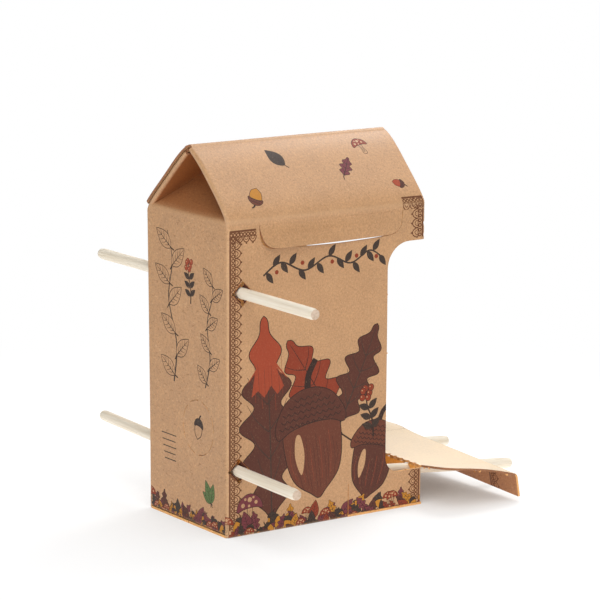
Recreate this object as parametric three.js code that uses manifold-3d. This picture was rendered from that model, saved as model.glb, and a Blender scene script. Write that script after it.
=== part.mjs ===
// A squirrel feeder made of one folded carton, a drop-down platform and four wooden sticks.
//
// The carton is a gable-top box. X runs along the wide front, -Y is the front, +Z is up, and the
// origin is the middle of the underside. All sizes are in millimetres.

import * as THREE from 'three';
import { mergeVertices } from 'three/addons/utils/BufferGeometryUtils.js';
import Module from 'manifold-3d';

const wasm = await Module();
wasm.setup();

// Driving dimensions of the carton
const boxWidth = 126;
const boxDepth = 75;
const shoulderHeight = 165;
const roofPitch = THREE.MathUtils.degToRad(45);
const board = 1.2;
const layerGap = 0.3;
const cornerRadius = 1.8;
const shoulderRadius = 5;
const gableBendRadius = 4;
const ridgeRadius = 3;
const layersOverFrontGusset = 1;
const layersOverBackGusset = 2;

// The side opening, which runs round both right-hand corners
const notchDepth = 24.7;
const openingBelowShoulder = 19.5;
const notchTopRadius = 14;
const notchBottomRadius = 9;

// The flap that folds out of the opening: platform, two wings and a lip
const hingeTop = 22;
const platformLength = 45.6;
const platformDroop = THREE.MathUtils.degToRad(4.3);
const creaseGap = 0.3;
const lipHeight = 12.2;
const lipLean = THREE.MathUtils.degToRad(10);
const lipFoldGap = 0.5;
const lipCornerRadius = 1.6;
const perforationPitch = 4.2;
const perforationWidth = 1.4;
const perforationDepth = 0.8;

// The four alike sticks
const stickRadius = 3;
const stickLength = 196;
const stickChamfer = 0.35;
const stickFit = 0.3;

// The perches, which cross the carton from front to back
const perchFromSide = 8.4;
const upperPerchBelowShoulder = 36.6;
const lowerPerchHeight = 35.4;
const upperPerchYaw = THREE.MathUtils.degToRad(1.4);
const lowerPerchYaw = THREE.MathUtils.degToRad(-1.6);
const perchPitch = THREE.MathUtils.degToRad(0.5);
const upperPerchShift = -1.8;
const lowerPerchShift = 5.8;

// The platform's supports, which run under it and tuck under the lower perch
const supportSpacing = 54;
const supportsBehindCentre = 2;
const supportEndGap = 0.4;

// Cross-cut holes with a petal at each side
const petalCount = 4;
const crossCutReach = 5.8;
const petalSeat = 0.2;
const petalNarrowing = 0.4;

// The die-cut tongue in the front
const tongueCentre = 2.3;
const tongueTopWidth = 91;
const tongueBottomWidth = 87;
const tongueBelowShoulder = 2.6;
const tongueHeight = 12.7;
const tongueCornerRadius = 8;
const tongueKerf = 0.5;
const tonguePop = THREE.MathUtils.degToRad(7);

// The slit in the front's lower edge and the flaps that close the bottom
const slitFromCentre = 14;
const slitWidth = 0.6;
const slitHeight = 18.5;
const dustFlapLength = 36;
const dustFlapTaper = 8;
const bottomFlapMeeting = -3;
const bottomFlapInset = 0.6;

// The perforated knock-out disc in the left side
const knockOutRadius = 14.7;
const knockOutHeight = 53.5;
const knockOutForward = 10;
const knockOutCuts = 8;
const knockOutCutShare = 0.72;
const knockOutWidth = 0.4;

// The glue flap inside the back's left corner
const glueFlapWidth = 15;
const glueFlapBottom = 7;
const glueFlapBelowShoulder = 13;
const glueFlapTaper = 6;

// One overrun serves every cut
const overrun = 2;
const arcSteps = 6;
const stickSides = 24;

const kraft = { color: 0xb98a60, roughness: 0.85, metalness: 0 };
const kraftShade = { color: 0xa87a52, roughness: 0.88, metalness: 0 };
const innerLiner = { color: 0xead9bd, roughness: 0.8, metalness: 0 };
const birch = { color: 0xe6dcc2, roughness: 0.6, metalness: 0 };

// Sizes that follow from the ones above
const halfWidth = boxWidth / 2;
const halfDepth = boxDepth / 2;
const layerStep = board + layerGap;
const sharpRidge = shoulderHeight + halfDepth * Math.tan(roofPitch);
const ridgeTop = sharpRidge - ridgeRadius * (1 / Math.cos(roofPitch) - 1);
const shoulderTurn = Math.PI / 2 - roofPitch;
const shoulderTangent = shoulderRadius * Math.tan(shoulderTurn / 2);
const flatHalfDepth = halfDepth - cornerRadius;
const wallInX = halfWidth - board;
const wallInY = halfDepth - board;
const foldRadius = (board + layerStep) / 2;
const sideWallBottom = layerStep;
const openingTop = shoulderHeight - openingBelowShoulder;
const tongueTop = shoulderHeight - tongueBelowShoulder;
const glueFlapTop = shoulderHeight - glueFlapBelowShoulder;
const upperPerchHeight = shoulderHeight - upperPerchBelowShoulder;
const perchFromCentre = halfWidth - perchFromSide;
const sillTop = hingeTop - board - layerGap;
const hingeX = halfWidth - board / 2;
const hingeZ = hingeTop - board / 2;

// A closed geometry becomes a solid that can be cut and joined.
function solidOf(geometry) {
  const bare = geometry.clone();
  bare.deleteAttribute('normal');
  bare.deleteAttribute('uv');
  const merged = mergeVertices(bare);
  const mesh = new wasm.Mesh({
    numProp: 3,
    vertProperties: new Float32Array(merged.attributes.position.array),
    triVerts: new Uint32Array(merged.index.array),
  });
  return new wasm.Manifold(mesh);
}

function geometryOf(solid) {
  const mesh = solid.getMesh();
  const geometry = new THREE.BufferGeometry();
  geometry.setAttribute('position', new THREE.BufferAttribute(mesh.vertProperties, 3));
  geometry.setIndex(new THREE.BufferAttribute(mesh.triVerts, 1));
  return geometry;
}

function cut(geometry, ...cutters) {
  let solid = solidOf(geometry);
  for (const cutter of cutters) {
    solid = solid.subtract(solidOf(cutter));
  }
  return geometryOf(solid);
}

function join(geometry, ...others) {
  let solid = solidOf(geometry);
  for (const other of others) {
    solid = solid.add(solidOf(other));
  }
  return geometryOf(solid);
}

function common(geometry, other) {
  return geometryOf(solidOf(geometry).intersect(solidOf(other)));
}

const axisX = new THREE.Vector3(1, 0, 0);
const axisY = new THREE.Vector3(0, 1, 0);
const axisZ = new THREE.Vector3(0, 0, 1);

function extrude(shape, depth) {
  return new THREE.ExtrudeGeometry(shape, { depth, bevelEnabled: false, curveSegments: arcSteps });
}

// A plan outline in X and Y, raised from one height to another.
function prismZ(shape, from, to) {
  return extrude(shape, to - from).translate(0, 0, from);
}

// An outline in X and Z, seen from the front, run from one depth to another.
function prismY(shape, from, to) {
  const turn = new THREE.Matrix4().makeBasis(axisX, axisZ, axisY.clone().negate());
  return extrude(shape, to - from).applyMatrix4(turn).translate(0, to, 0);
}

// An outline in Y and Z, seen from the right, run from left to right.
function prismX(shape, from, to) {
  const turn = new THREE.Matrix4().makeBasis(axisY, axisZ, axisX);
  return extrude(shape, to - from).applyMatrix4(turn).translate(from, 0, 0);
}

function block(x0, x1, y0, y1, z0, z1) {
  const box = new THREE.BoxGeometry(x1 - x0, y1 - y0, z1 - z0);
  return box.translate((x0 + x1) / 2, (y0 + y1) / 2, (z0 + z1) / 2);
}

function outline(points) {
  return new THREE.Shape(points.map(([a, b]) => new THREE.Vector2(a, b)));
}

// A mirror image with its faces still pointing out.
function mirrored(geometry, scaleX, scaleY) {
  const image = geometry.index ? geometry.clone() : mergeVertices(geometry);
  image.applyMatrix4(new THREE.Matrix4().makeScale(scaleX, scaleY, 1));
  const index = image.index.array;
  for (let i = 0; i < index.length; i += 3) {
    [index[i + 1], index[i + 2]] = [index[i + 2], index[i + 1]];
  }
  return image;
}

function mirrorX(geometry) {
  return mirrored(geometry, -1, 1);
}

function mirrorY(geometry) {
  return mirrored(geometry, 1, -1);
}

// Plan of a wide panel with the bends at its two upright corners; the front is at -Y.
function widePanelPlan() {
  const plan = new THREE.Shape();
  const bendX = halfWidth - cornerRadius;
  const bendY = -halfDepth + cornerRadius;
  const innerRadius = cornerRadius - board;
  plan.moveTo(-halfWidth, bendY);
  plan.absarc(-bendX, bendY, cornerRadius, Math.PI, Math.PI * 1.5, false);
  plan.lineTo(bendX, -halfDepth);
  plan.absarc(bendX, bendY, cornerRadius, Math.PI * 1.5, Math.PI * 2, false);
  plan.lineTo(wallInX, bendY);
  plan.absarc(bendX, bendY, innerRadius, Math.PI * 2, Math.PI * 1.5, true);
  plan.lineTo(-bendX, -wallInY);
  plan.absarc(-bendX, bendY, innerRadius, Math.PI * 1.5, Math.PI, true);
  plan.closePath();
  return plan;
}

// Opening in the front's right edge, with a wide and a tight rounded corner.
function notchOutline() {
  const left = halfWidth - notchDepth;
  const right = halfWidth + overrun;
  const shape = new THREE.Shape();
  shape.moveTo(right, sillTop);
  shape.lineTo(right, openingTop);
  shape.lineTo(left + notchTopRadius, openingTop);
  shape.absarc(left + notchTopRadius, openingTop - notchTopRadius, notchTopRadius,
    Math.PI / 2, Math.PI, false);
  shape.lineTo(left, sillTop + notchBottomRadius);
  shape.absarc(left + notchBottomRadius, sillTop + notchBottomRadius, notchBottomRadius,
    Math.PI, Math.PI * 1.5, false);
  shape.closePath();
  return shape;
}

// A cross cut opens into a square that stands on its corner.
function crossCutOutline(across, up) {
  return outline([
    [across + crossCutReach, up],
    [across, up + crossCutReach],
    [across - crossCutReach, up],
    [across, up - crossCutReach],
  ]);
}

// The four petals of a cross cut in a wide panel. Each is bent towards +Y about its root, which is
// seated a little inside the panel's -Y face, until its point lies just off the stick.
function petals(across, up, rootY) {
  const side = crossCutReach * Math.SQRT2;
  const height = crossCutReach / Math.SQRT2;
  const bend = Math.acos((height - stickRadius - stickFit) / height);
  const halfRoot = side / 2 - petalNarrowing;
  const petal = outline([[-halfRoot, 0], [halfRoot, 0], [0, height]]);
  const pieces = [];
  for (let i = 0; i < petalCount; i += 1) {
    const turn = (Math.PI * 2 * i + Math.PI) / petalCount;
    const plate = extrude(petal, board).rotateX(bend).translate(0, -height - petalSeat, petalSeat);
    plate.rotateZ(turn).rotateX(-Math.PI / 2);
    pieces.push(plate.translate(across, rootY, up));
  }
  return pieces;
}

function tongueOutline(grow) {
  const top = tongueTopWidth / 2 + grow;
  const bottom = tongueBottomWidth / 2 + grow;
  const slope = Math.atan2(tongueHeight, top - bottom);
  const low = -tongueHeight - grow;
  const radius = tongueCornerRadius + grow;
  const inset = radius * Math.tan(slope / 2);
  const shape = new THREE.Shape();
  shape.moveTo(-top, 0);
  shape.lineTo(-bottom - inset * Math.cos(slope), low + inset * Math.sin(slope));
  shape.quadraticCurveTo(-bottom, low, -bottom + inset, low);
  shape.lineTo(bottom - inset, low);
  shape.quadraticCurveTo(bottom, low, bottom + inset * Math.cos(slope), low + inset * Math.sin(slope));
  shape.lineTo(top, 0);
  shape.closePath();
  return shape;
}

// Where a perch's axis crosses a wall: its place along X and its height.
function perchCrossing(yaw, height, y) {
  return [-perchFromCentre - Math.tan(yaw) * y, height + Math.tan(perchPitch) * y];
}

const perches = [
  { name: 'perch_upper', yaw: upperPerchYaw, height: upperPerchHeight, shift: upperPerchShift },
  { name: 'perch_lower', yaw: lowerPerchYaw, height: lowerPerchHeight, shift: lowerPerchShift },
];

// The supports pass just under the platform and just under the lower perch.
const supportAtHingeZ = hingeTop - board - layerGap - stickFit / 2 - stickRadius;
const supportSides = {
  front: supportsBehindCentre - supportSpacing / 2,
  back: supportsBehindCentre + supportSpacing / 2,
};
const perchUnderside = lowerPerchHeight + Math.tan(perchPitch) * supportSides.front
  - 2 * stickRadius - stickFit;
const supportDroop = Math.atan2(perchUnderside - supportAtHingeZ, hingeX + perchFromCentre);

function supportHeightAt(x) {
  return supportAtHingeZ - (x - hingeX) * Math.tan(supportDroop);
}

function frontPanel() {
  const top = shoulderHeight - shoulderTangent;
  const tongueHalfCut = tongueTopWidth / 2 + tongueKerf;
  const cutters = [
    prismY(notchOutline(), -halfDepth - overrun, -halfDepth + cornerRadius + overrun),
    prismY(tongueOutline(tongueKerf), -halfDepth - overrun, -wallInY + overrun)
      .translate(tongueCentre, 0, tongueTop),
    block(tongueCentre - tongueHalfCut, tongueCentre + tongueHalfCut,
      -halfDepth - overrun, -wallInY + overrun, tongueTop, top + overrun),
    block(slitFromCentre - slitWidth / 2, slitFromCentre + slitWidth / 2,
      -halfDepth - overrun, -wallInY + overrun, -overrun, slitHeight),
    block(slitFromCentre, halfWidth + overrun, -halfDepth - overrun, -halfDepth + cornerRadius + overrun,
      -overrun, sideWallBottom),
  ];
  for (const perch of perches) {
    const [x, z] = perchCrossing(perch.yaw, perch.height, -halfDepth);
    cutters.push(prismY(crossCutOutline(x, z), -halfDepth - overrun, -wallInY + overrun));
  }
  let panel = cut(prismZ(widePanelPlan(), 0, top), ...cutters);
  for (const perch of perches) {
    const [x, z] = perchCrossing(perch.yaw, perch.height, -halfDepth);
    panel = join(panel, ...petals(x, z, -halfDepth));
  }
  return panel;
}

// The back wall stops lower, because its roof lies under the outer flap.
const backShoulderHeight = shoulderHeight - layerStep / Math.cos(roofPitch);

function backPanel() {
  const top = backShoulderHeight - shoulderTangent;
  const plan = prismZ(widePanelPlan(), 0, top).rotateZ(Math.PI);
  const cutters = [
    prismY(notchOutline(), halfDepth - cornerRadius - overrun, halfDepth + overrun),
  ];
  for (const perch of perches) {
    const [x, z] = perchCrossing(perch.yaw, perch.height, halfDepth);
    cutters.push(prismY(crossCutOutline(x, z), wallInY - overrun, halfDepth + overrun));
  }
  let panel = cut(plan, ...cutters);
  for (const perch of perches) {
    const [x, z] = perchCrossing(perch.yaw, perch.height, halfDepth);
    panel = join(panel, ...petals(x, z, wallInY));
  }
  return panel;
}

const gableTangent = gableBendRadius * Math.tan(roofPitch / 2);

function sidePlate(bottom, top) {
  return block(-halfWidth, -wallInX, -flatHalfDepth, flatHalfDepth, bottom, top);
}

// Short arcs round a circle, left joined between them, let the disc be pushed out by hand.
function knockOutCutters() {
  const cutters = [];
  const turn = (Math.PI * 2) / knockOutCuts;
  for (let i = 0; i < knockOutCuts; i += 1) {
    const start = i * turn;
    const end = start + turn * knockOutCutShare;
    const arc = new THREE.Shape();
    arc.absarc(-knockOutForward, knockOutHeight, knockOutRadius, start, end, false);
    arc.absarc(-knockOutForward, knockOutHeight, knockOutRadius - knockOutWidth, end, start, true);
    arc.closePath();
    cutters.push(prismX(arc, -halfWidth - overrun, -wallInX + overrun));
  }
  return cutters;
}

function leftPanel() {
  return cut(sidePlate(sideWallBottom, shoulderHeight - gableTangent), ...knockOutCutters());
}

function rightHeader() {
  return mirrorX(sidePlate(openingTop, shoulderHeight - gableTangent));
}

function rightSill() {
  const cutters = Object.values(supportSides).map((y) => (
    prismX(crossCutOutline(y, supportHeightAt(hingeX)), wallInX - overrun, halfWidth + overrun)));
  return cut(mirrorX(sidePlate(sideWallBottom, sillTop)), ...cutters);
}

const shoulderCentreY = halfDepth - shoulderRadius;
const ridgeCentreZ = sharpRidge - ridgeRadius / Math.cos(roofPitch);
const innerRidgeRadius = ridgeRadius - board;
const ridgeHalfGap = layerGap / 2;

// A roof sheet's outline in Y and Z starts with the wall and its outer shoulder bend.
function startAtShoulder(shape, top) {
  shape.moveTo(wallInY, top);
  shape.lineTo(halfDepth, top);
  shape.absarc(shoulderCentreY, top, shoulderRadius, 0, shoulderTurn, false);
}

function endAtShoulder(shape, top) {
  shape.absarc(shoulderCentreY, top, shoulderRadius - board, shoulderTurn, 0, true);
  shape.closePath();
}

// Half of the bend over the ridge, out and back again.
function turnAtRidge(shape) {
  const outerEnd = Math.acos(ridgeHalfGap / ridgeRadius);
  const innerEnd = Math.acos(ridgeHalfGap / innerRidgeRadius);
  shape.absarc(0, ridgeCentreZ, ridgeRadius, shoulderTurn, outerEnd, false);
  shape.absarc(0, ridgeCentreZ, innerRidgeRadius, innerEnd, shoulderTurn, true);
}

// Height of a plane that lies some depth under the back slope's outer face.
function slopeHeight(y, depth) {
  return sharpRidge - y * Math.tan(roofPitch) - depth / Math.cos(roofPitch);
}

// A flat layer under one roof slope, from its lower edge's place in Y to its upper one's.
function slopeLayer(offset, lowY, highY) {
  return outline([
    [lowY, slopeHeight(lowY, offset + board)],
    [lowY, slopeHeight(lowY, offset)],
    [highY, slopeHeight(highY, offset)],
    [highY, slopeHeight(highY, offset + board)],
  ]);
}

const roofSheetEnd = halfWidth - foldRadius;

function frontRoof() {
  const shape = new THREE.Shape();
  const top = shoulderHeight - shoulderTangent;
  startAtShoulder(shape, top);
  turnAtRidge(shape);
  endAtShoulder(shape, top);
  return mirrorY(prismX(shape, -roofSheetEnd, roofSheetEnd));
}

// The inner back roof stops under the ridge, where the folded gables meet.
function backRoof() {
  const shape = new THREE.Shape();
  const top = backShoulderHeight - shoulderTangent;
  startAtShoulder(shape, top);
  shape.lineTo(layerStep, slopeHeight(layerStep, layerStep));
  shape.lineTo(layerStep, slopeHeight(layerStep, layerStep + board));
  endAtShoulder(shape, top);
  return prismX(shape, -roofSheetEnd, roofSheetEnd);
}

// The outer flap folds over the ridge and lies on the inner back roof.
function roofFlap() {
  const low = halfDepth + layerGap;
  const shape = new THREE.Shape();
  shape.moveTo(low - board * Math.sin(roofPitch), slopeHeight(low, 0) - board * Math.cos(roofPitch));
  shape.lineTo(low, slopeHeight(low, 0));
  turnAtRidge(shape);
  shape.closePath();
  return prismX(shape, -halfWidth + layerGap, halfWidth - layerGap);
}

// Everything on the outer side of the leaning gable, seen from the front.
function outsideGable(clearance) {
  const lift = clearance / Math.cos(roofPitch);
  const reach = halfDepth + overrun;
  return prismY(outline([
    [-halfWidth - overrun, shoulderHeight - overrun + lift],
    [-halfWidth + reach, shoulderHeight + reach * Math.tan(roofPitch) + lift],
    [-halfWidth + reach, sharpRidge + reach + lift],
    [-halfWidth - overrun, sharpRidge + reach + lift],
  ]), -halfDepth - overrun, halfDepth + overrun);
}

// A gusset lies folded under a roof sheet, with the rounded fold along the slanting edge.
function gusset(layersAbove) {
  const offset = layersAbove * layerStep;
  const lowY = halfDepth - offset - board;
  const sheet = prismX(slopeLayer(offset, lowY, layerGap + layersAbove * layerGap), -roofSheetEnd, 0);
  const bead = new THREE.Shape();
  bead.absarc(0, 0, foldRadius, Math.PI / 2, Math.PI * 1.5, false);
  bead.closePath();
  // The bead's outline is in X and the slope's normal, and it runs up the slope.
  const topY = ridgeRadius * Math.sin(roofPitch) + layerGap;
  const middle = offset - layerStep / 2 + board / 2;
  const outward = new THREE.Vector3(0, Math.sin(roofPitch), Math.cos(roofPitch));
  const upSlope = new THREE.Vector3(0, -Math.cos(roofPitch), Math.sin(roofPitch));
  const fold = extrude(bead, (lowY - topY) / Math.cos(roofPitch));
  fold.applyMatrix4(new THREE.Matrix4().makeBasis(axisX, outward, upSlope));
  fold.translate(-roofSheetEnd, lowY, slopeHeight(lowY, middle));
  return common(join(sheet, fold), outsideGable(layerGap));
}

// The gable leans in from the shoulder under both gussets.
function gable() {
  const centreX = -halfWidth + gableBendRadius;
  const centreZ = shoulderHeight - gableTangent;
  const inner = gableBendRadius - board;
  const reach = halfDepth;
  const profile = new THREE.Shape();
  profile.moveTo(-halfWidth, centreZ);
  profile.lineTo(-wallInX, centreZ);
  profile.absarc(centreX, centreZ, inner, Math.PI, Math.PI - roofPitch, true);
  profile.lineTo(-halfWidth + reach + board * Math.sin(roofPitch),
    shoulderHeight + reach - board * Math.cos(roofPitch));
  profile.lineTo(-halfWidth + reach, shoulderHeight + reach);
  profile.absarc(centreX, centreZ, gableBendRadius, Math.PI - roofPitch, Math.PI, false);
  profile.closePath();
  const sheet = prismY(profile, -flatHalfDepth, flatHalfDepth);
  const frontDrop = (layersOverFrontGusset + 1) * layerStep / Math.cos(roofPitch);
  const backDrop = (layersOverBackGusset + 1) * layerStep / Math.cos(roofPitch);
  const slope = Math.tan(roofPitch);
  const apexY = (frontDrop - backDrop) / (2 * slope);
  const under = outline([
    [-flatHalfDepth, shoulderHeight - halfDepth],
    [flatHalfDepth, shoulderHeight - halfDepth],
    [flatHalfDepth, sharpRidge - flatHalfDepth * slope - backDrop],
    [apexY, sharpRidge + apexY * slope - frontDrop],
    [-flatHalfDepth, sharpRidge - flatHalfDepth * slope - frontDrop],
  ]);
  return common(sheet, prismX(under, -halfWidth - overrun, halfDepth));
}

function glueFlap() {
  const left = -halfWidth + cornerRadius;
  const right = left + glueFlapWidth;
  const strip = prismY(outline([
    [left, glueFlapBottom],
    [right, glueFlapBottom + glueFlapTaper],
    [right, glueFlapTop - glueFlapTaper],
    [left, glueFlapTop],
  ]), wallInY - board, wallInY);
  const cutters = perches.map((perch) => {
    const [x, z] = perchCrossing(perch.yaw, perch.height, halfDepth);
    return prismY(crossCutOutline(x, z), wallInY - board - overrun, wallInY + overrun);
  });
  return cut(strip, ...cutters);
}

// Both bottom flaps stay clear of the bends at the carton's upright corners.
function bottomFlapFront() {
  const bendX = halfWidth - cornerRadius;
  const right = slitFromCentre - slitWidth / 2;
  return prismZ(outline([
    [-halfWidth + bottomFlapInset, -flatHalfDepth],
    [-wallInX, -flatHalfDepth],
    [-bendX, -wallInY],
    [right, -wallInY],
    [right, bottomFlapMeeting - layerGap],
    [-halfWidth + bottomFlapInset, bottomFlapMeeting - layerGap],
  ]), 0, board);
}

// The back's bottom flap has a long arm that reaches the front on the right of the slit.
function bottomFlapBack() {
  const left = -halfWidth + bottomFlapInset;
  const right = halfWidth - bottomFlapInset;
  const arm = slitFromCentre + slitWidth / 2;
  const bendX = halfWidth - cornerRadius;
  return prismZ(outline([
    [left, bottomFlapMeeting],
    [arm, bottomFlapMeeting],
    [arm, -halfDepth + bottomFlapInset],
    [right, -halfDepth + bottomFlapInset],
    [right, flatHalfDepth],
    [wallInX, flatHalfDepth],
    [bendX, wallInY],
    [-bendX, wallInY],
    [-wallInX, flatHalfDepth],
    [left, flatHalfDepth],
  ]), 0, board);
}

function dustFlap() {
  const root = flatHalfDepth;
  return prismZ(outline([
    [-wallInX, -root],
    [-wallInX + dustFlapLength, -root + dustFlapTaper],
    [-wallInX + dustFlapLength, root - dustFlapTaper],
    [-wallInX, root],
  ]), sideWallBottom, sideWallBottom + board);
}

// The platform's outline has a row of perforation nicks along the hinge.
function platformPlate() {
  const half = halfDepth - creaseGap / 2;
  const plate = block(-board / 2, platformLength, -half, half, -board / 2, board / 2);
  const nicks = [];
  const count = Math.floor((2 * half) / perforationPitch);
  const first = (-(count - 1) * perforationPitch) / 2;
  for (let i = 0; i < count; i += 1) {
    const y = first + i * perforationPitch;
    nicks.push(block(-board / 2 - overrun, -board / 2 + perforationDepth,
      y - perforationWidth / 2, y + perforationWidth / 2, -board / 2 - overrun, board / 2 + overrun));
  }
  return cut(plate, ...nicks);
}

// A wing was cut from the front or back, so its near corner repeats the notch's lower one.
function wingPlate() {
  const inner = halfDepth + creaseGap / 2;
  const outer = halfDepth + notchDepth;
  const start = creaseGap;
  const shape = new THREE.Shape();
  shape.moveTo(start, inner);
  shape.lineTo(platformLength, inner);
  shape.lineTo(platformLength, outer);
  shape.lineTo(start + notchBottomRadius, outer);
  shape.absarc(start + notchBottomRadius, outer - notchBottomRadius, notchBottomRadius,
    Math.PI / 2, Math.PI, false);
  shape.closePath();
  return prismZ(shape, -board / 2, board / 2);
}

const lipHingeX = platformLength + lipFoldGap + board / 2;
const lipHalfWidth = halfDepth + notchDepth;
const lipWorldX = hingeX + lipHingeX * Math.cos(platformDroop);
const lipWorldZ = hingeZ - lipHingeX * Math.sin(platformDroop);

function lipPlate() {
  const low = -lipHeight;
  const edge = lipHalfWidth - lipCornerRadius;
  const shape = new THREE.Shape();
  shape.moveTo(-lipHalfWidth, low);
  shape.lineTo(lipHalfWidth, low);
  shape.lineTo(lipHalfWidth, board / 2 - lipCornerRadius);
  shape.absarc(edge, board / 2 - lipCornerRadius, lipCornerRadius, 0, Math.PI / 2, false);
  shape.absarc(-edge, board / 2 - lipCornerRadius, lipCornerRadius, Math.PI / 2, Math.PI, false);
  shape.closePath();
  const drop = supportHeightAt(lipWorldX) - lipWorldZ;
  const cutters = Object.values(supportSides).map((y) => (
    prismX(crossCutOutline(y, drop), -board / 2 - overrun, board / 2 + overrun)));
  return cut(prismX(shape, -board / 2, board / 2), ...cutters);
}

// A round stick along X with a small chamfer at each end, starting at its left end.
function stick() {
  const profile = [
    [0, 0],
    [stickRadius - stickChamfer, 0],
    [stickRadius, stickChamfer],
    [stickRadius, stickLength - stickChamfer],
    [stickRadius - stickChamfer, stickLength],
    [0, stickLength],
  ].map(([r, along]) => new THREE.Vector2(r, along));
  return new THREE.LatheGeometry(profile, stickSides).rotateZ(-Math.PI / 2);
}

const feeder = new THREE.Group();

function add(parent, name, geometry, finish) {
  const mesh = new THREE.Mesh(geometry, new THREE.MeshStandardMaterial(finish));
  mesh.name = name;
  parent.add(mesh);
  return mesh;
}

// Walls
add(feeder, 'front_panel', frontPanel(), kraft);
add(feeder, 'back_panel', backPanel(), kraft);
add(feeder, 'left_panel', leftPanel(), kraft);
add(feeder, 'right_header', rightHeader(), kraft);
add(feeder, 'right_sill', rightSill(), kraft);
add(feeder, 'glue_flap', glueFlap(), kraftShade);

// Roof
add(feeder, 'front_roof', frontRoof(), kraft);
add(feeder, 'back_roof', backRoof(), kraftShade);
add(feeder, 'roof_flap', roofFlap(), kraft);
add(feeder, 'left_gable', gable(), kraft);
add(feeder, 'right_gable', mirrorX(gable()), kraft);
add(feeder, 'left_gusset_front', mirrorY(gusset(layersOverFrontGusset)), kraftShade);
add(feeder, 'left_gusset_back', gusset(layersOverBackGusset), kraftShade);
add(feeder, 'right_gusset_front', mirrorX(mirrorY(gusset(layersOverFrontGusset))), kraftShade);
add(feeder, 'right_gusset_back', mirrorX(gusset(layersOverBackGusset)), kraftShade);

// Bottom
add(feeder, 'bottom_flap_front', bottomFlapFront(), kraft);
add(feeder, 'bottom_flap_back', bottomFlapBack(), kraft);
add(feeder, 'dust_flap_left', dustFlap(), kraftShade);
add(feeder, 'dust_flap_right', mirrorX(dustFlap()), kraftShade);

// Tongue, bent out a little from its crease
const tongueGroup = new THREE.Group();
tongueGroup.position.set(tongueCentre, -halfDepth + board / 2, tongueTop);
tongueGroup.rotation.x = -tonguePop;
feeder.add(tongueGroup);
add(tongueGroup, 'tongue', prismY(tongueOutline(0), -board / 2, board / 2), kraft);

// Platform with its wings, and the lip folded down at its far edge
const platformGroup = new THREE.Group();
platformGroup.position.set(hingeX, 0, hingeZ);
platformGroup.rotation.y = platformDroop;
feeder.add(platformGroup);
add(platformGroup, 'platform', platformPlate(), innerLiner);
add(platformGroup, 'wing_back', wingPlate(), innerLiner);
add(platformGroup, 'wing_front', mirrorY(wingPlate()), innerLiner);
const lipGroup = new THREE.Group();
lipGroup.position.set(lipHingeX, 0, 0);
lipGroup.rotation.y = -platformDroop - lipLean;
platformGroup.add(lipGroup);
add(lipGroup, 'lip', lipPlate(), kraft);

// Perches through the cross cuts near the left corners
for (const perch of perches) {
  const group = new THREE.Group();
  group.position.set(-perchFromCentre, 0, perch.height);
  group.rotation.set(perchPitch, 0, perch.yaw);
  feeder.add(group);
  const mesh = add(group, perch.name, stick().rotateZ(Math.PI / 2), birch);
  mesh.position.y = perch.shift - stickLength / 2;
}

// Supports under the platform, with their left ends just inside the left wall
for (const [side, y] of Object.entries(supportSides)) {
  const group = new THREE.Group();
  const left = -wallInX + supportEndGap + stickRadius * Math.sin(supportDroop);
  group.position.set(left, y, supportHeightAt(left));
  group.rotation.y = supportDroop;
  feeder.add(group);
  add(group, `support_${side}`, stick(), birch);
}

export default feeder;
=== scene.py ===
"""Looks for a squirrel feeder folded from one printed carton and held up by four birch sticks."""

import logging
import math
import random
from collections.abc import Callable, Sequence
from dataclasses import dataclass, field
from enum import Enum

import bpy
import numpy as np
from mathutils import Matrix, Vector
from mathutils.geometry import delaunay_2d_cdt


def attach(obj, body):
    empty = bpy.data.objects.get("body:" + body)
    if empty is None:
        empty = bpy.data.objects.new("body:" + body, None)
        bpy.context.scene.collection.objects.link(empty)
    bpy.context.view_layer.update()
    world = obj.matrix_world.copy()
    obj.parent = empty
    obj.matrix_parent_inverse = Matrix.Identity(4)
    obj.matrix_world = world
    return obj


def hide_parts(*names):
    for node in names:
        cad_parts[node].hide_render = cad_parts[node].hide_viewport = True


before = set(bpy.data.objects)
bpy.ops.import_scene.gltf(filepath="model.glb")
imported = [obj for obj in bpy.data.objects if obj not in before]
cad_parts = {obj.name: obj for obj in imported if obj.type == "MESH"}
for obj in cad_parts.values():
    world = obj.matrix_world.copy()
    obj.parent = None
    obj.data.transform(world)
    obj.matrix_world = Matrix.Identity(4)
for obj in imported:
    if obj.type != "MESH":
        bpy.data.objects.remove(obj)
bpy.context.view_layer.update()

logging.basicConfig(level=logging.INFO, format="%(name)s: %(message)s")
log = logging.getLogger("feeder")

MM = 0.001
SENSOR_MM = 36.0
PHOTO_PIXELS = 600
Points = np.ndarray
Pair = tuple[float, float]
Triple = tuple[float, float, float]
Placer = Callable[[Points], Points]
Spread = Placer
Piece = bpy.types.Object
Material = bpy.types.Material
Node = bpy.types.Node
Socket = bpy.types.NodeSocket
Tree = bpy.types.NodeTree
Feeds = dict[str | int, object]


class Ink(Enum):
    """Printing inks as they look on the kraft board, in sRGB from 0 to 255."""

    MUSTARD = (182, 122, 40)
    RUST = (132, 52, 32)
    EMBER = (154, 64, 40)
    BURGUNDY = (110, 50, 58)
    CHARCOAL = (56, 46, 41)
    BARK = (84, 45, 36)
    COCOA = (100, 60, 38)
    CHESTNUT = (100, 53, 39)
    MOSS = (84, 112, 62)
    LINE = (46, 31, 28)
    BARE = (-1, -1, -1)

    def linear(self) -> tuple[float, float, float, float]:
        """Gives the ink as linear RGB, with how fully it covers the board as alpha."""
        if self is Ink.BARE:
            return (0.0, 0.0, 0.0, 0.0)
        shares = [channel / 255 for channel in self.value]
        red, green, blue = (
            share / 12.92 if share <= 0.04045 else ((share + 0.055) / 1.055) ** 2.4 for share in shares
        )
        return (red, green, blue, 1.0)


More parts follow.
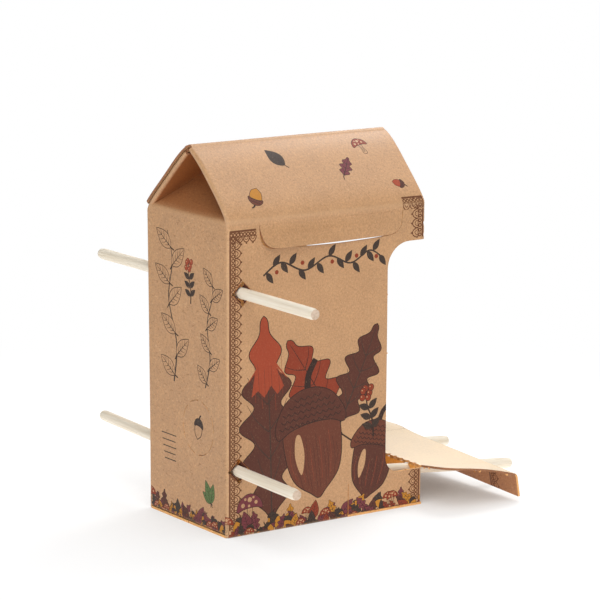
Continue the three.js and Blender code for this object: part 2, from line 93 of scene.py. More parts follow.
@dataclass(frozen=True)
class Patch:
    """One closed shape of ink, in blank millimetres."""

    loop: Points
    ink: Ink

    def low(self) -> Points:
        """Gives the lowest corner."""
        return self.loop.min(axis=0)

    def high(self) -> Points:
        """Gives the highest corner."""
        return self.loop.max(axis=0)


def eased(points: Sequence[Pair], per: int = 6, closed: bool = True) -> Points:
    """Runs a smooth line through a few points.

    Args:
        points: The points that the line goes through.
        per: Steps between two of them.
        closed: Whether the line comes back to its start.

    Returns:
        The points along the line.
    """
    given = np.array(points, float)
    count = len(given)
    spans = count if closed else count - 1
    line = []
    for i in range(spans):
        if closed:
            a, b, c, d = (given[(i + k) % count] for k in (-1, 0, 1, 2))
        else:
            a, b, c, d = (given[min(max(i + k, 0), count - 1)] for k in (-1, 0, 1, 2))
        for t in np.linspace(0, 1, per, endpoint=False):
            second, third = 2 * a - 5 * b + 4 * c - d, 3 * b - 3 * c + d - a
            line.append(0.5 * (2 * b + (c - a) * t + second * t**2 + third * t**3))
    if not closed:
        line.append(given[-1])
    return np.array(line)


def unit(vectors: Points) -> Points:
    """Scales each vector to a length of one."""
    return vectors / np.maximum(np.linalg.norm(vectors, axis=1, keepdims=True), 1e-12)


def smooth(share: Points) -> Points:
    """Eases shares between 0 and 1 at both ends."""
    return share * share * (3 - 2 * share)


def turned(degrees: float, axis: str) -> Matrix:
    """Gives a turn about one axis."""
    return Matrix.Rotation(math.radians(degrees), 4, axis)


def shifted(x: float, y: float, z: float) -> Matrix:
    """Gives a move in part millimetres."""
    return Matrix.Translation(Vector((x, y, z)) * MM)


def grown(loop: Points, amount: float) -> Points:
    """Moves a closed line outwards.

    Args:
        loop: The line, either way round.
        amount: How far each point moves.

    Returns:
        The moved line.
    """
    ahead = np.roll(loop, -1, axis=0) - np.roll(loop, 1, axis=0)
    area = float(np.sum(loop[:, 0] * np.roll(loop[:, 1], -1) - np.roll(loop[:, 0], -1) * loop[:, 1]))
    side = math.copysign(1.0, area)
    across = np.stack([ahead[:, 1], -ahead[:, 0]], axis=1) * side
    return loop + unit(across) * amount


def stroke(line: Points, width: float, start: float = 1.0, end: float = 0.35) -> Points:
    """Draws a pen stroke along an open line.

    Args:
        line: The middle of the stroke.
        width: Its width.
        start: Share of the width at its start.
        end: Share of the width at its end.

    Returns:
        The stroke's closed outline.
    """
    ahead = np.gradient(line, axis=0)
    across = unit(np.stack([-ahead[:, 1], ahead[:, 0]], axis=1))
    share = np.linspace(start, end, len(line))[:, None] * width / 2
    return np.concatenate([line + across * share, (line - across * share)[::-1]])


def disc(centre: Pair, radius: float, sides: int = 18, squash: float = 1.0) -> Points:
    """Makes a round or oval outline."""
    turn = np.linspace(0, 2 * math.pi, sides, endpoint=False)
    return np.stack([centre[0] + radius * np.cos(turn), centre[1] + radius * squash * np.sin(turn)], axis=1)


@dataclass
class Drawing:
    """Shapes of ink, the later ones over the earlier ones."""

    patches: list[Patch] = field(default_factory=list)

    def add(self, loop: Points, ink: Ink) -> None:
        """Puts one more shape on top."""
        self.patches.append(Patch(np.asarray(loop, float), ink))

    def outlined(self, loop: Points, ink: Ink, pen: float = 0.3, line: Ink = Ink.LINE) -> None:
        """Puts a shape on top with a darker line around it."""
        self.add(grown(loop, pen), line)
        self.add(loop, ink)

    def placed(self, at: Pair, turn: float) -> "Drawing":
        """Gives a copy turned by some degrees, anticlockwise, and moved."""
        angle = math.radians(turn)
        spin = np.array([[math.cos(angle), math.sin(angle)], [-math.sin(angle), math.cos(angle)]])
        return Drawing([Patch(patch.loop @ spin + np.array(at), patch.ink) for patch in self.patches])

    def extend(self, other: "Drawing", at: Pair = (0.0, 0.0), turn: float = 0.0) -> None:
        """Puts another drawing on top, turned and moved."""
        self.patches.extend(other.placed(at, turn).patches)


def curve(scale: float, points: Sequence[Pair], per: int = 6, closed: bool = True) -> Points:
    """Runs a smooth line through points that are given at unit size."""
    return eased(np.array(points, float) * scale, per, closed)


def along_axis(widths: Points, length: float) -> Points:
    """Makes an outline that is alike on both sides of the upright axis.

    Args:
        widths: Half widths from the foot to the tip.
        length: Height of the tip.

    Returns:
        The closed outline.
    """
    up = np.linspace(0, length, len(widths))
    right = np.stack([widths, up], axis=1)
    left = np.stack([-widths, up], axis=1)[::-1]
    return np.concatenate([right, left[1:-1]])


def oak_leaf(
    length: float, body: Ink, lobes: int = 4, pen: float = 0.28,
    veins: Ink = Ink.LINE, breadth: float = 0.27
) -> Drawing:
    """Draws a lobed leaf that stands on its stalk.

    Args:
        length: Height of the leaf.
        body: Its fill.
        lobes: Lobes on each side.
        pen: Width of its outline.
        veins: Ink of the veins.
        breadth: Half width as a share of the length.

    Returns:
        The drawing.
    """
    t = np.linspace(0, 1, 16 * lobes + 1)
    swell = np.sin(math.pi * np.clip(t, 0, 1) ** 0.8) ** 0.7
    widths = breadth * length * swell * (0.74 + 0.26 * np.cos(2 * math.pi * (lobes + 0.5) * t + 2.6))
    drawing = Drawing()
    drawing.add(stroke(np.array([[0.06, -0.22], [0, -0.08], [0, 0.05]]) * length, 2 * pen, 1, 1), Ink.LINE)
    drawing.outlined(along_axis(np.abs(widths), length), body, pen)
    drawing.add(stroke(curve(length, [(0, 0), (0.01, 0.5), (0, 0.95)], 5, False), 1.6 * pen), veins)
    for i in range(lobes):
        foot = (0.16 + 0.68 * i / lobes) * length
        reach = 0.7 * breadth * length * math.sin(math.pi * (0.2 + 0.7 * i / lobes))
        for side in (-1, 1):
            bend = (side * reach * 0.6, foot + 0.07 * length)
            rib = eased([(0, foot), bend, (side * reach, foot + 0.15 * length)], 3, False)
            drawing.add(stroke(rib, 1.1 * pen, 1, 0.4), veins)
    return drawing


def beech_leaf(length: float, body: Ink, pen: float = 0.28, slim: float = 0.27) -> Drawing:
    """Draws a plain pointed leaf with a few ribs."""
    widths = slim * length * np.sin(math.pi * np.linspace(0, 1, 31) ** 0.82)
    drawing = Drawing()
    drawing.add(stroke(np.array([[0.05, -0.2], [0, 0], [0, 0.05]]) * length, 2 * pen, 1, 1), Ink.LINE)
    drawing.outlined(along_axis(np.abs(widths), length), body, pen)
    drawing.add(stroke(np.array([[0, 0], [0, 0.5], [0, 0.96]]) * length, 1.5 * pen), Ink.LINE)
    for i in range(4):
        foot = 0.14 + 0.17 * i
        reach = slim * 0.8 * math.sin(math.pi * (0.25 + 0.17 * i))
        for side in (-1, 1):
            rib = np.array([[0, foot], [side * reach * 0.5, foot + 0.06], [side * reach, foot + 0.16]])
            drawing.add(stroke(rib * length, pen, 1, 0.4), Ink.LINE)
    return drawing


def acorn(length: float, nut: Ink, cap: Ink, pen: float = 0.28, rich: bool = False) -> Drawing:
    """Draws an acorn that hangs from its stalk, its point down.

    Args:
        length: Height of nut and cap.
        nut: Fill of the nut.
        cap: Fill of the cap.
        pen: Width of its outline.
        rich: Whether it has hatching and a scaly cap.

    Returns:
        The drawing, with its origin at the nut's point.
    """
    k = length
    nut_line = curve(k, [(0, 0), (0.07, 0.05), (0.23, 0.2), (0.29, 0.45), (0.26, 0.68), (0, 0.72),
                         (-0.26, 0.68), (-0.29, 0.45), (-0.23, 0.2), (-0.07, 0.05)])
    cap_line = curve(k, [(-0.34, 0.6), (-0.2, 0.65), (0, 0.67), (0.2, 0.65), (0.34, 0.6), (0.35, 0.72),
                         (0.22, 0.9), (0, 0.97), (-0.22, 0.9), (-0.35, 0.72)])
    drawing = Drawing()
    stalk = curve(k, [(0, 0.94), (0.03, 1.08), (0.12, 1.2)], 4, False)
    drawing.add(stroke(stalk, 0.06 * k + pen, 1, 0.8), Ink.LINE)
    drawing.outlined(nut_line, nut, pen)
    if rich:
        for i in range(15):
            x = (-0.235 + 0.0335 * i) * k
            low = (0.1 + 1.9 * (x / k) ** 2 + 0.05 * math.sin(i * 2.3)) * k
            high = (0.5 + 0.07 * math.sin(i * 1.7)) * k
            hatch = eased([(x * 0.86, low), (x * 1.04, (low + high) / 2), (x, high)], 4, False)
            drawing.add(stroke(hatch, 0.34, 0.4, 0.4), Ink.LINE if i % 3 else Ink.EMBER)
        shine = curve(k, [(-0.15, 0.24), (-0.1, 0.4), (-0.12, 0.58), (-0.17, 0.57), (-0.195, 0.4)])
        drawing.add(shine, Ink.BARE)
    drawing.outlined(cap_line, cap, pen)
    rows = 5 if rich else 2
    for row in range(rows):
        height = (0.68 + 0.27 * (row + 0.2) / rows) * k
        half = 0.32 * k * math.cos(0.5 * math.pi * row / (rows + 0.6))
        scales = max(3, int((11 if rich else 5) * half / (0.32 * k)))
        for i in range(scales):
            x = half * (-1 + (2 * i + 1 + 0.4 * (row % 2)) / scales)
            size = half / scales
            scallop = eased([(x - size, height), (x, height - 0.85 * size), (x + size, height)], 3, False)
            drawing.add(stroke(scallop, max(0.24, 0.9 * pen), 1, 1), Ink.LINE)
    return drawing


def toadstool(height: float, cap: Ink, pen: float = 0.28) -> Drawing:
    """Draws a spotted toadstool that stands on its foot."""
    k = height
    drawing = Drawing()
    stem = curve(k, [(-0.1, 0), (0.1, 0), (0.07, 0.3), (0.08, 0.62), (-0.08, 0.62), (-0.07, 0.3)])
    drawing.outlined(stem, Ink.BARE, pen)
    for x in (-0.03, 0.03):
        drawing.add(stroke(np.array([[x, 0.08], [x, 0.3], [x, 0.5]]) * k, 0.9 * pen), Ink.CHARCOAL)
    dome = curve(k, [(-0.46, 0.5), (-0.2, 0.56), (0.2, 0.56), (0.46, 0.5), (0.4, 0.76), (0.2, 0.94), (0, 1),
                     (-0.2, 0.94), (-0.4, 0.76)])
    drawing.outlined(dome, cap, pen)
    spots = ((-0.24, 0.68, 0.07), (0.02, 0.82, 0.08), (0.24, 0.7, 0.06), (-0.02, 0.63, 0.045),
             (-0.14, 0.86, 0.045), (0.16, 0.87, 0.04))
    for x, y, r in spots:
        drawing.add(disc((x * k, y * k), r * k, 12), Ink.BARE)
    return drawing


def berry_sprig(length: float, berry: Ink, pen: float = 0.28) -> Drawing:
    """Draws a twig with paired leaflets and round berries at its tip."""
    k = length
    drawing = Drawing()
    twig = curve(k, [(0, 0), (0.04, 0.35), (-0.02, 0.7), (0.03, 1)], 5, False)
    drawing.add(stroke(twig, 0.035 * k + pen, 1, 0.5), Ink.LINE)
    for i in range(3):
        for side in (-1, 1):
            leaflet = beech_leaf(0.26 * k, Ink.CHARCOAL, 0.7 * pen, 0.24)
            drawing.extend(leaflet, (0.01 * k, (0.2 + 0.2 * i) * k), side * -58)
    for x, y in ((-0.1, 0.86), (0.08, 0.9), (0.0, 1.02), (-0.06, 0.98), (0.14, 1.0), (0.03, 0.82)):
        drawing.outlined(disc((x * k, y * k), 0.065 * k, 12), berry, pen)
        drawing.add(disc(((x - 0.02) * k, (y + 0.02) * k), 0.016 * k, 6), Ink.BARE)
    return drawing


def hazel_twig(length: float) -> Drawing:
    """Draws an open line drawing of a twig with leaves."""
    drawing = Drawing()
    spine = eased([(0, 0), (0.05, 0.25), (-0.02, 0.55), (0.04, 0.8), (0, 1)], 8, False) * length
    drawing.add(stroke(spine, 0.011 * length + 0.3, 1, 0.4), Ink.CHARCOAL)
    for i in range(7):
        foot = spine[int((0.08 + 0.13 * i) * (len(spine) - 1))]
        leaf = beech_leaf(0.19 * length, Ink.BARE, 0.38, 0.26)
        drawing.extend(leaf, (foot[0], foot[1]), 52 if i % 2 == 0 else -52)
    return drawing


def lace(path: Sequence[Pair], pitch: float = 4.6, side: float = 1.0, size: float = 1.22) -> Drawing:
    """Draws a crocheted edging along a line of straight runs.

    Args:
        path: Corners of the line along the edging's straight side.
        pitch: Width of one scallop.
        side: 1 puts the scallops on the left of the path, -1 on its right.
        size: Scale of its depth.

    Returns:
        The drawing.
    """
    drawing = Drawing()
    ink = Ink.COCOA
    for a, b in zip(path[:-1], path[1:]):
        start, stop = np.array(a, float), np.array(b, float)
        run = float(np.linalg.norm(stop - start))
        count = max(1, round(run / pitch))
        step = run / count
        ahead = (stop - start) / run
        out = np.array([-ahead[1], ahead[0]]) * side * size
        straight = np.array([start, (start + stop) / 2, stop])
        drawing.add(stroke(straight + out * 0.3, 1.1, 1, 1), ink)
        drawing.add(stroke(straight + out * 2.75, 0.46, 1, 1), ink)
        for i in range(2 * count):
            ring = start + ahead * step * (i + 0.5) / 2 + out * 1.75
            drawing.add(disc((ring[0], ring[1]), 1.14, 12), ink)
            drawing.add(disc((ring[0], ring[1]), 0.52, 8), Ink.BARE)
        for i in range(count):
            middle = start + ahead * step * (i + 0.5)
            for reach, width in ((0.5, 0.6), (0.28, 0.42)):
                fan = [
                    middle + ahead * step * reach * math.cos(q)
                    + out * (2.7 + step * 1.2 * reach * math.sin(q))
                    for q in np.linspace(0, math.pi, 11)
                ]
                drawing.add(stroke(np.array(fan), width, 1, 1), ink)
            bead = middle + out * (2.7 + step * 0.6 + 0.4)
            drawing.add(disc((bead[0], bead[1]), 0.55, 8), ink)
    return drawing


def hedge(left: float, right: float, seed: int, tall: float = 10.0) -> Drawing:
    """Draws a low crowded row of leaves, acorns and toadstools along the carton's foot.

    Args:
        left: Where the row starts.
        right: Where it ends.
        seed: Fixed seed of its mix.
        tall: Height of its taller pieces.

    Returns:
        The drawing.
    """
    rng = random.Random(seed)
    drawing = Drawing()
    fills = (Ink.BURGUNDY, Ink.RUST, Ink.CHARCOAL, Ink.BURGUNDY, Ink.MUSTARD, Ink.BARK)
    for row, (share, step, foot) in enumerate(((1.0, 4.6, 2.2), (0.8, 4.2, -0.6), (0.62, 3.9, -2.6))):
        x = left - 1 + row * 1.3
        while x < right + 2:
            size = tall * share * rng.uniform(0.75, 1.12)
            turn = rng.uniform(-62, 62)
            kind = rng.random()
            fill = rng.choice(fills)
            if kind < 0.5:
                item = oak_leaf(size, fill, 3, 0.22)
            elif kind < 0.72:
                item = beech_leaf(size, fill, 0.22)
            elif kind < 0.88:
                item = acorn(0.85 * size, Ink.MUSTARD, Ink.CHARCOAL, 0.22)
            else:
                item = toadstool(0.95 * size, Ink.RUST, 0.22)
                turn *= 0.25
            drawing.extend(item, (x, foot), turn)
            x += step * rng.uniform(0.8, 1.15)
    return drawing


@dataclass(frozen=True)
class CartonSizes:
    """The carton's outer sizes in millimetres, as in the solids."""

    half_width: float = 63.0
    half_depth: float = 37.5
    shoulder: float = 165.0
    ridge: float = 201.0
    board: float = 1.2
    layer: float = 1.5
    corner: float = 1.8
    shoulder_radius: float = 5.0
    ridge_radius: float = 3.0
    bead: float = 1.35
    gable_radius: float = 4.0
    notch_left: float = 38.3
    notch_top: float = 145.5
    sill_top: float = 20.5
    notch_top_radius: float = 14.0
    front_top: float = 162.4
    side_top: float = 163.0
    notch_bottom_radius: float = 9.0
    bottom_curl: float = 1.1

    @property
    def bend_x(self) -> float:
        """Where the flat of a wide wall ends."""
        return self.half_width - self.corner

    @property
    def bend_y(self) -> float:
        """Where the flat of a side wall ends."""
        return self.half_depth - self.corner

    @property
    def corner_run(self) -> float:
        """Length of board in a corner's bend."""
        return self.corner * math.pi / 2

    @property
    def side_start(self) -> float:
        """Where the right wall starts along the belt."""
        return self.bend_x + self.corner_run

    @property
    def side_end(self) -> float:
        """Where the right wall ends along the belt."""
        return self.side_start + 2 * self.bend_y

    @property
    def back_middle(self) -> float:
        """Middle of the back wall along the belt."""
        return self.side_end + self.corner_run + self.bend_x

    @property
    def curl_end(self) -> float:
        """Where a wall's lower edge ends on the blank, at the end of its curl."""
        return self.bottom_curl * (1 - math.pi / 2)

    @property
    def shoulder_tangent(self) -> float:
        """From the shoulder's corner to where its bend starts."""
        return self.shoulder_radius * math.tan(math.radians(22.5))


SIZES = CartonSizes()
CURL_LINES = (-0.3, 0.1, 0.5, 0.9, 1.3)
SIDE_CURL_LINES = (1.0, 1.4, 1.8, 2.2, 2.6)


@dataclass(frozen=True)
class BentLine:
    """A line in a plane, made of straights and arcs, given as pairs of length and turn in degrees."""

    start: Pair
    heading: float
    runs: tuple[Pair, ...]

    def at(self, s: Points) -> tuple[Points, Points]:
        """Finds points along the line, which goes straight on past both ends.

        Args:
            s: Lengths from the start.

        Returns:
            The points, and the heading at each in radians.
        """
        place = np.zeros((len(s), 2))
        heading = np.zeros(len(s))
        origin = np.array(self.start, float)
        angle = math.radians(self.heading)
        begun = 0.0
        last = len(self.runs) - 1
        for i, (length, turn) in enumerate(self.runs):
            here = (s >= begun if i else np.ones(len(s), bool)) & (s < begun + length if i < last else True)
            local = s[here] - begun
            if turn == 0:
                place[here] = origin + np.outer(local, [math.cos(angle), math.sin(angle)])
                heading[here] = angle
                origin = origin + length * np.array([math.cos(angle), math.sin(angle)])
            else:
                bend = math.radians(turn) / length
                ahead = angle + bend * local
                place[here] = origin + np.stack(
                    [np.sin(ahead) - math.sin(angle), math.cos(angle) - np.cos(ahead)], axis=1) / bend
                heading[here] = ahead
                stop = angle + math.radians(turn)
                origin = origin + np.array(
                    [(math.sin(stop) - math.sin(angle)) / bend, (math.cos(angle) - math.cos(stop)) / bend])
                angle = stop
            begun += length
        return place, heading


def within(points: Points, loop: Points) -> np.ndarray:
    """Tells which points lie inside a closed line.

    Args:
        points: The points.
        loop: The line's corners.

    Returns:
        True for each point inside.
    """
    inside = np.zeros(len(points), bool)
    low, high = loop.min(axis=0), loop.max(axis=0)
    near = np.flatnonzero(np.all((points >= low) & (points <= high), axis=1))
    if not len(near):
        return inside
    x, y = points[near, 0], points[near, 1]
    odd = np.zeros(len(near), bool)
    ahead = np.roll(loop, -1, axis=0)
    for (ax, ay), (bx, by) in zip(loop, ahead):
        if ay == by:
            continue
        crosses = (ay > y) != (by > y)
        odd ^= crosses & (x < (bx - ax) * (y - ay) / (by - ay) + ax)
    inside[near] = odd
    return inside


def divided(loop: Points, step: float) -> Points:
    """Splits a closed line's long edges."""
    out = []
    for a, b in zip(loop, np.roll(loop, -1, axis=0)):
        parts = max(1, int(np.linalg.norm(b - a) / step))
        out.extend(a + (b - a) * k / parts for k in range(parts))
    return np.array(out)


@dataclass
class Board:
    """A flat piece of board in blank millimetres: its outline, holes, print, and where it needs points."""

    outline: Points
    holes: list[Points] = field(default_factory=list)
    drawing: Drawing = field(default_factory=Drawing)
    u_lines: Sequence[float] = ()
    v_lines: Sequence[float] = ()
    step: float = 3.0
    thickness: float = 1.2

    def grid(self) -> Points:
        """Gives the points inside the outline that let the board bend."""
        low, high = self.outline.min(axis=0), self.outline.max(axis=0)
        u = np.union1d(np.round(np.arange(low[0], high[0], self.step), 3), np.round(self.u_lines, 3))
        v = np.union1d(np.round(np.arange(low[1], high[1], self.step), 3), np.round(self.v_lines, 3))
        mesh = np.stack(np.meshgrid(u, v), axis=-1).reshape(-1, 2)
        return mesh[within(mesh, self.outline)]

    def triangles(self) -> tuple[Points, np.ndarray, np.ndarray]:
        """Splits the board into triangles along its outline, holes and print.

        Returns:
            The points, the triangles, and the linear ink of each triangle.
        """
        low, high = self.outline.min(axis=0), self.outline.max(axis=0)
        prints = [p for p in self.drawing.patches if np.all(p.high() > low) and np.all(p.low() < high)]
        loops = [divided(self.outline, self.step / 2)] + [divided(h, self.step / 2) for h in self.holes]
        loops += [p.loop for p in prints]
        points: list[Vector] = []
        edges: list[tuple[int, int]] = []
        for loop in loops:
            base = len(points)
            points.extend(Vector(p) for p in loop)
            edges.extend((base + i, base + (i + 1) % len(loop)) for i in range(len(loop)))
        points.extend(Vector(p) for p in self.grid())
        verts, _, faces, *_ = delaunay_2d_cdt(points, edges, [], 0, 1e-4)
        flat = np.array([tuple(v) for v in verts])
        tris = np.array([f for f in faces if len(f) == 3])
        centres = flat[tris].mean(axis=1)
        keep = within(centres, self.outline)
        for hole in self.holes:
            keep &= ~within(centres, hole)
        tris, centres = tris[keep], centres[keep]
        inks = np.zeros((len(tris), 4), np.float32)
        for patch in prints:
            inks[within(centres, patch.loop)] = patch.ink.linear()
        used, inverse = np.unique(tris, return_inverse=True)
        tris = inverse.reshape(-1, 3)
        flat = flat[used]
        a, b, c = (flat[tris[:, i]] for i in range(3))
        turn = (b[:, 0] - a[:, 0]) * (c[:, 1] - a[:, 1]) - (b[:, 1] - a[:, 1]) * (c[:, 0] - a[:, 0])
        tris[turn < 0] = tris[turn < 0][:, ::-1]
        return flat, tris, inks


def normals_of(place: Placer, flat: Points) -> Points:
    """Finds the outward direction of a bent sheet at each point."""
    h = 0.02
    du = place(flat + [h, 0]) - place(flat - [h, 0])
    dv = place(flat + [0, h]) - place(flat - [0, h])
    return unit(np.cross(du, dv))


def bend_board(
    name: str, board: Board, place: Placer, looks: Sequence[Material],
    wear: Spread | None = None, recess: Spread | None = None
) -> Piece:
    """Makes a piece of board from its flat shape.

    Args:
        name: Name of the piece.
        board: The flat shape.
        place: Gives the printed face's point in part millimetres for each blank point.
        looks: Materials of its printed face, inner face and cut edge.
        wear: Gives how worn each blank point is, from 0 to 1.
        recess: Gives how much painted shade each blank point takes, from 0 to 1, where it lies under the
            roof or faces the ground.

    Returns:
        The piece, at the origin.
    """
    flat, tris, inks = board.triangles()
    outer = place(flat)
    normal = normals_of(place, flat)
    inner = outer - normal * board.thickness
    count = len(flat)
    sides = np.concatenate([tris[:, [0, 1]], tris[:, [1, 2]], tris[:, [2, 0]]])
    keys = np.sort(sides, axis=1)
    _, first, times = np.unique(keys, axis=0, return_index=True, return_counts=True)
    rim = sides[first[times == 1]]
    walls = np.stack([rim[:, 1], rim[:, 0], rim[:, 0] + count, rim[:, 1] + count], axis=1)
    mesh = bpy.data.meshes.new(name)
    faces = [tuple(t) for t in tris] + [tuple(t[::-1] + count) for t in tris] + [tuple(w) for w in walls]
    mesh.from_pydata((np.concatenate([outer, inner]) * MM).tolist(), [], faces)
    slots = np.repeat([0, 1, 2], [len(tris), len(tris), len(walls)]).astype(np.int32)
    for material in looks:
        mesh.materials.append(material)
    mesh.polygons.foreach_set("material_index", slots)
    mesh.polygons.foreach_set("use_smooth", slots < 2)
    corner_vertex = np.zeros(len(mesh.loops), np.int32)
    mesh.loops.foreach_get("vertex_index", corner_vertex)
    blank = np.concatenate([flat, flat])[corner_vertex]
    mesh.uv_layers.new(name="blank").data.foreach_set("uv", (blank * MM).astype(np.float32).ravel())
    corner_ink = np.zeros((len(mesh.loops), 4), np.float32)
    corner_ink[: 3 * len(tris)] = np.repeat(inks, 3, axis=0)
    mesh.attributes.new("ink", "FLOAT_COLOR", "CORNER").data.foreach_set("color", corner_ink.ravel())
    # Wear and painted shade are stored per point for the printed face's material.
    for label, spread in (("wear", wear), ("recess", recess)):
        values = np.zeros(count, np.float32) if spread is None else spread(flat).astype(np.float32)
        data = mesh.attributes.new(label, "FLOAT", "POINT").data
        data.foreach_set("value", np.concatenate([values, values]))
    corner_normal = np.concatenate([normal, -normal])[corner_vertex]
    edge_start = 6 * len(tris)
    across = unit(np.cross(outer[rim[:, 1]] - outer[rim[:, 0]], normal[rim[:, 0]]))
    corner_normal[edge_start:] = np.repeat(across, 4, axis=0)
    mesh.validate()
    mesh.update()
    mesh.normals_split_custom_set(corner_normal.tolist())
    piece = in_scene(name, mesh)
    log.info("%s: %d faces", name, len(mesh.polygons))
    return piece


@dataclass
class Wiring:
    """Short ways to add and join the nodes of one tree."""

    tree: Tree

    def feeds(self, node: Node, values: Feeds) -> None:
        """Joins a node's inputs to other nodes or their sockets, or sets them to plain values."""
        for key, value in values.items():
            source = value.outputs[0] if isinstance(value, Node) else value
            if isinstance(source, Socket):
                self.tree.links.new(source, node.inputs[key])
            else:
                node.inputs[key].default_value = source

    def node(self, kind: str, values: Feeds | None = None, **settings: object) -> Node:
        """Adds a node, sets its properties and then its inputs.

        Args:
            kind: Its type.
            values: What goes into its inputs, by name or number.
            settings: Its properties.

        Returns:
            The node.
        """
        made = self.tree.nodes.new(kind)
        for key, value in settings.items():
            setattr(made, key, value)
        self.feeds(made, values or {})
        return made

    def math(self, operation: str, a: object, b: object = 0.0, c: object = 0.0) -> Socket:
        """Adds a Math node and gives its result."""
        return self.node("ShaderNodeMath", {0: a, 1: b, 2: c}, operation=operation).outputs[0]

    def noise(self, vector: object, scale: object, detail: float, rough: float = 0.5) -> Socket:
        """Adds a Noise Texture and gives its value."""
        values = {"Vector": vector, "Scale": scale, "Detail": detail, "Roughness": rough}
        return self.node("ShaderNodeTexNoise", values).outputs["Fac"]

    def mapped(self, vector: object, turn: Triple, scale: Triple) -> Socket:
        """Adds a Mapping node that turns and stretches a vector."""
        feeds = {"Vector": vector, "Rotation": turn, "Scale": scale}
        return self.node("ShaderNodeMapping", feeds).outputs[0]

    def ramp(self, value: object, low: float, high: float) -> Socket:
        """Adds a Map Range node from low and high to 0 and 1."""
        values = {"Value": value, "From Min": low, "From Max": high}
        return self.node("ShaderNodeMapRange", values, interpolation_type="SMOOTHSTEP").outputs["Result"]

    def blend(self, share: object, a: object, b: object, how: str = "MIX") -> Socket:
        """Adds a colour Mix node and gives its result."""
        made = self.node("ShaderNodeMix", {}, data_type="RGBA", blend_type=how)
        self.feeds(made, {"Factor": share, 6: a, 7: b})
        return made.outputs[2]

    def group(self, tree: Tree, vector: object, **values: float) -> Node:
        """Places a node group, joins its Vector and sets its other inputs."""
        return self.node("ShaderNodeGroup", {"Vector": vector, **values}, node_tree=tree)


def new_tree(
    kind: str, name: str, inputs: Sequence[tuple[str, str, object]], outputs: Sequence[tuple[str, str]]
) -> tuple[Wiring, Node, Node]:
    """Starts a node group.

    Args:
        kind: Shader or Geometry.
        name: Its name.
        inputs: Name, kind of socket and default of each input.
        outputs: Name and kind of socket of each output.

    Returns:
        Its wiring, its input node and its output node.
    """
    tree = bpy.data.node_groups.new(name, f"{kind}NodeTree")
    for label, sort, default in inputs:
        socket = tree.interface.new_socket(label, in_out="INPUT", socket_type=f"NodeSocket{sort}")
        if default is not None:
            socket.default_value = default
    for label, sort in outputs:
        tree.interface.new_socket(label, in_out="OUTPUT", socket_type=f"NodeSocket{sort}")
    return Wiring(tree), tree.nodes.new("NodeGroupInput"), tree.nodes.new("NodeGroupOutput")


def build_fibre_group() -> Tree:
    """Makes the fibres of board: a cloudy tone, light and dark flecks, and their height."""
    marks = [(mark, "Float") for mark in ("Cloud", "Pale", "Dark", "Height")]
    wire, source, end = new_tree(
        "Shader", "board_fibre", (("Vector", "Vector", None), ("Scale", "Float", 1.0)), marks)
    scaled = {0: source.outputs["Vector"], "Scale": source.outputs["Scale"]}
    place = wire.node("ShaderNodeVectorMath", scaled, operation="SCALE").outputs[0]
    wide = wire.noise(place, 60.0, 3.0, 0.6)
    mottle = wire.noise(place, 900.0, 3.0, 0.7)
    calm = wire.math("MULTIPLY_ADD", wide, 0.5, 0.25)
    cloud = wire.math("MULTIPLY_ADD", wire.math("SUBTRACT", mottle, 0.5), 1.5, calm)
    layers = []
    for turn, stretch in ((0.4, (2600, 520, 900)), (1.5, (2300, 430, 1000)), (2.5, (2900, 600, 800))):
        lie = wire.mapped(place, (turn * 0.8, turn * 0.5, turn), stretch)
        layers.append(wire.noise(lie, 1.0, 2.0, 0.55))
    pale = wire.math("MAXIMUM", wire.ramp(layers[0], 0.6, 0.74), wire.ramp(layers[1], 0.62, 0.76))
    gaps = wire.math("SUBTRACT", 1.0, wire.ramp(layers[1], 0.26, 0.42))
    dark = wire.math("MAXIMUM", wire.ramp(layers[2], 0.6, 0.76), gaps)
    total = wire.math("ADD", layers[0], wire.math("ADD", layers[1], layers[2]))
    height = wire.math("MULTIPLY", total, 1 / 3)
    wire.feeds(end, {"Cloud": cloud, "Pale": pale, "Dark": dark, "Height": height})
    return wire.tree


def build_grain_group() -> Tree:
    """Makes straight wood grain that runs along the vector's X."""
    wire, source, end = new_tree(
        "Shader", "birch_grain", (("Vector", "Vector", None), ("Streak", "Float", 1.0)),
        (("Tone", "Float"), ("Pores", "Float"), ("Height", "Float")))
    place, streak = source.outputs["Vector"], source.outputs["Streak"]
    tone = wire.noise(wire.mapped(place, (0, 0, 0), (9, 700, 700)), streak, 3.0, 0.6)
    fine = wire.noise(wire.mapped(place, (0, 0, 0), (60, 3800, 3800)), streak, 2.0, 0.5)
    pores = wire.ramp(fine, 0.62, 0.74)
    wire.feeds(end, {"Tone": tone, "Pores": pores, "Height": wire.math("ADD", tone, fine)})
    return wire.tree


def new_look(name: str, specular: float) -> tuple[Material, Wiring, Node]:
    """Starts a material and gives it with its wiring and its shader."""
    material = bpy.data.materials.new(name)
    material.use_nodes = True
    wire = Wiring(material.node_tree)
    shader = material.node_tree.nodes["Principled BSDF"]
    wire.feeds(shader, {"IOR": 1.45, "Specular IOR Level": specular})
    return material, wire, shader


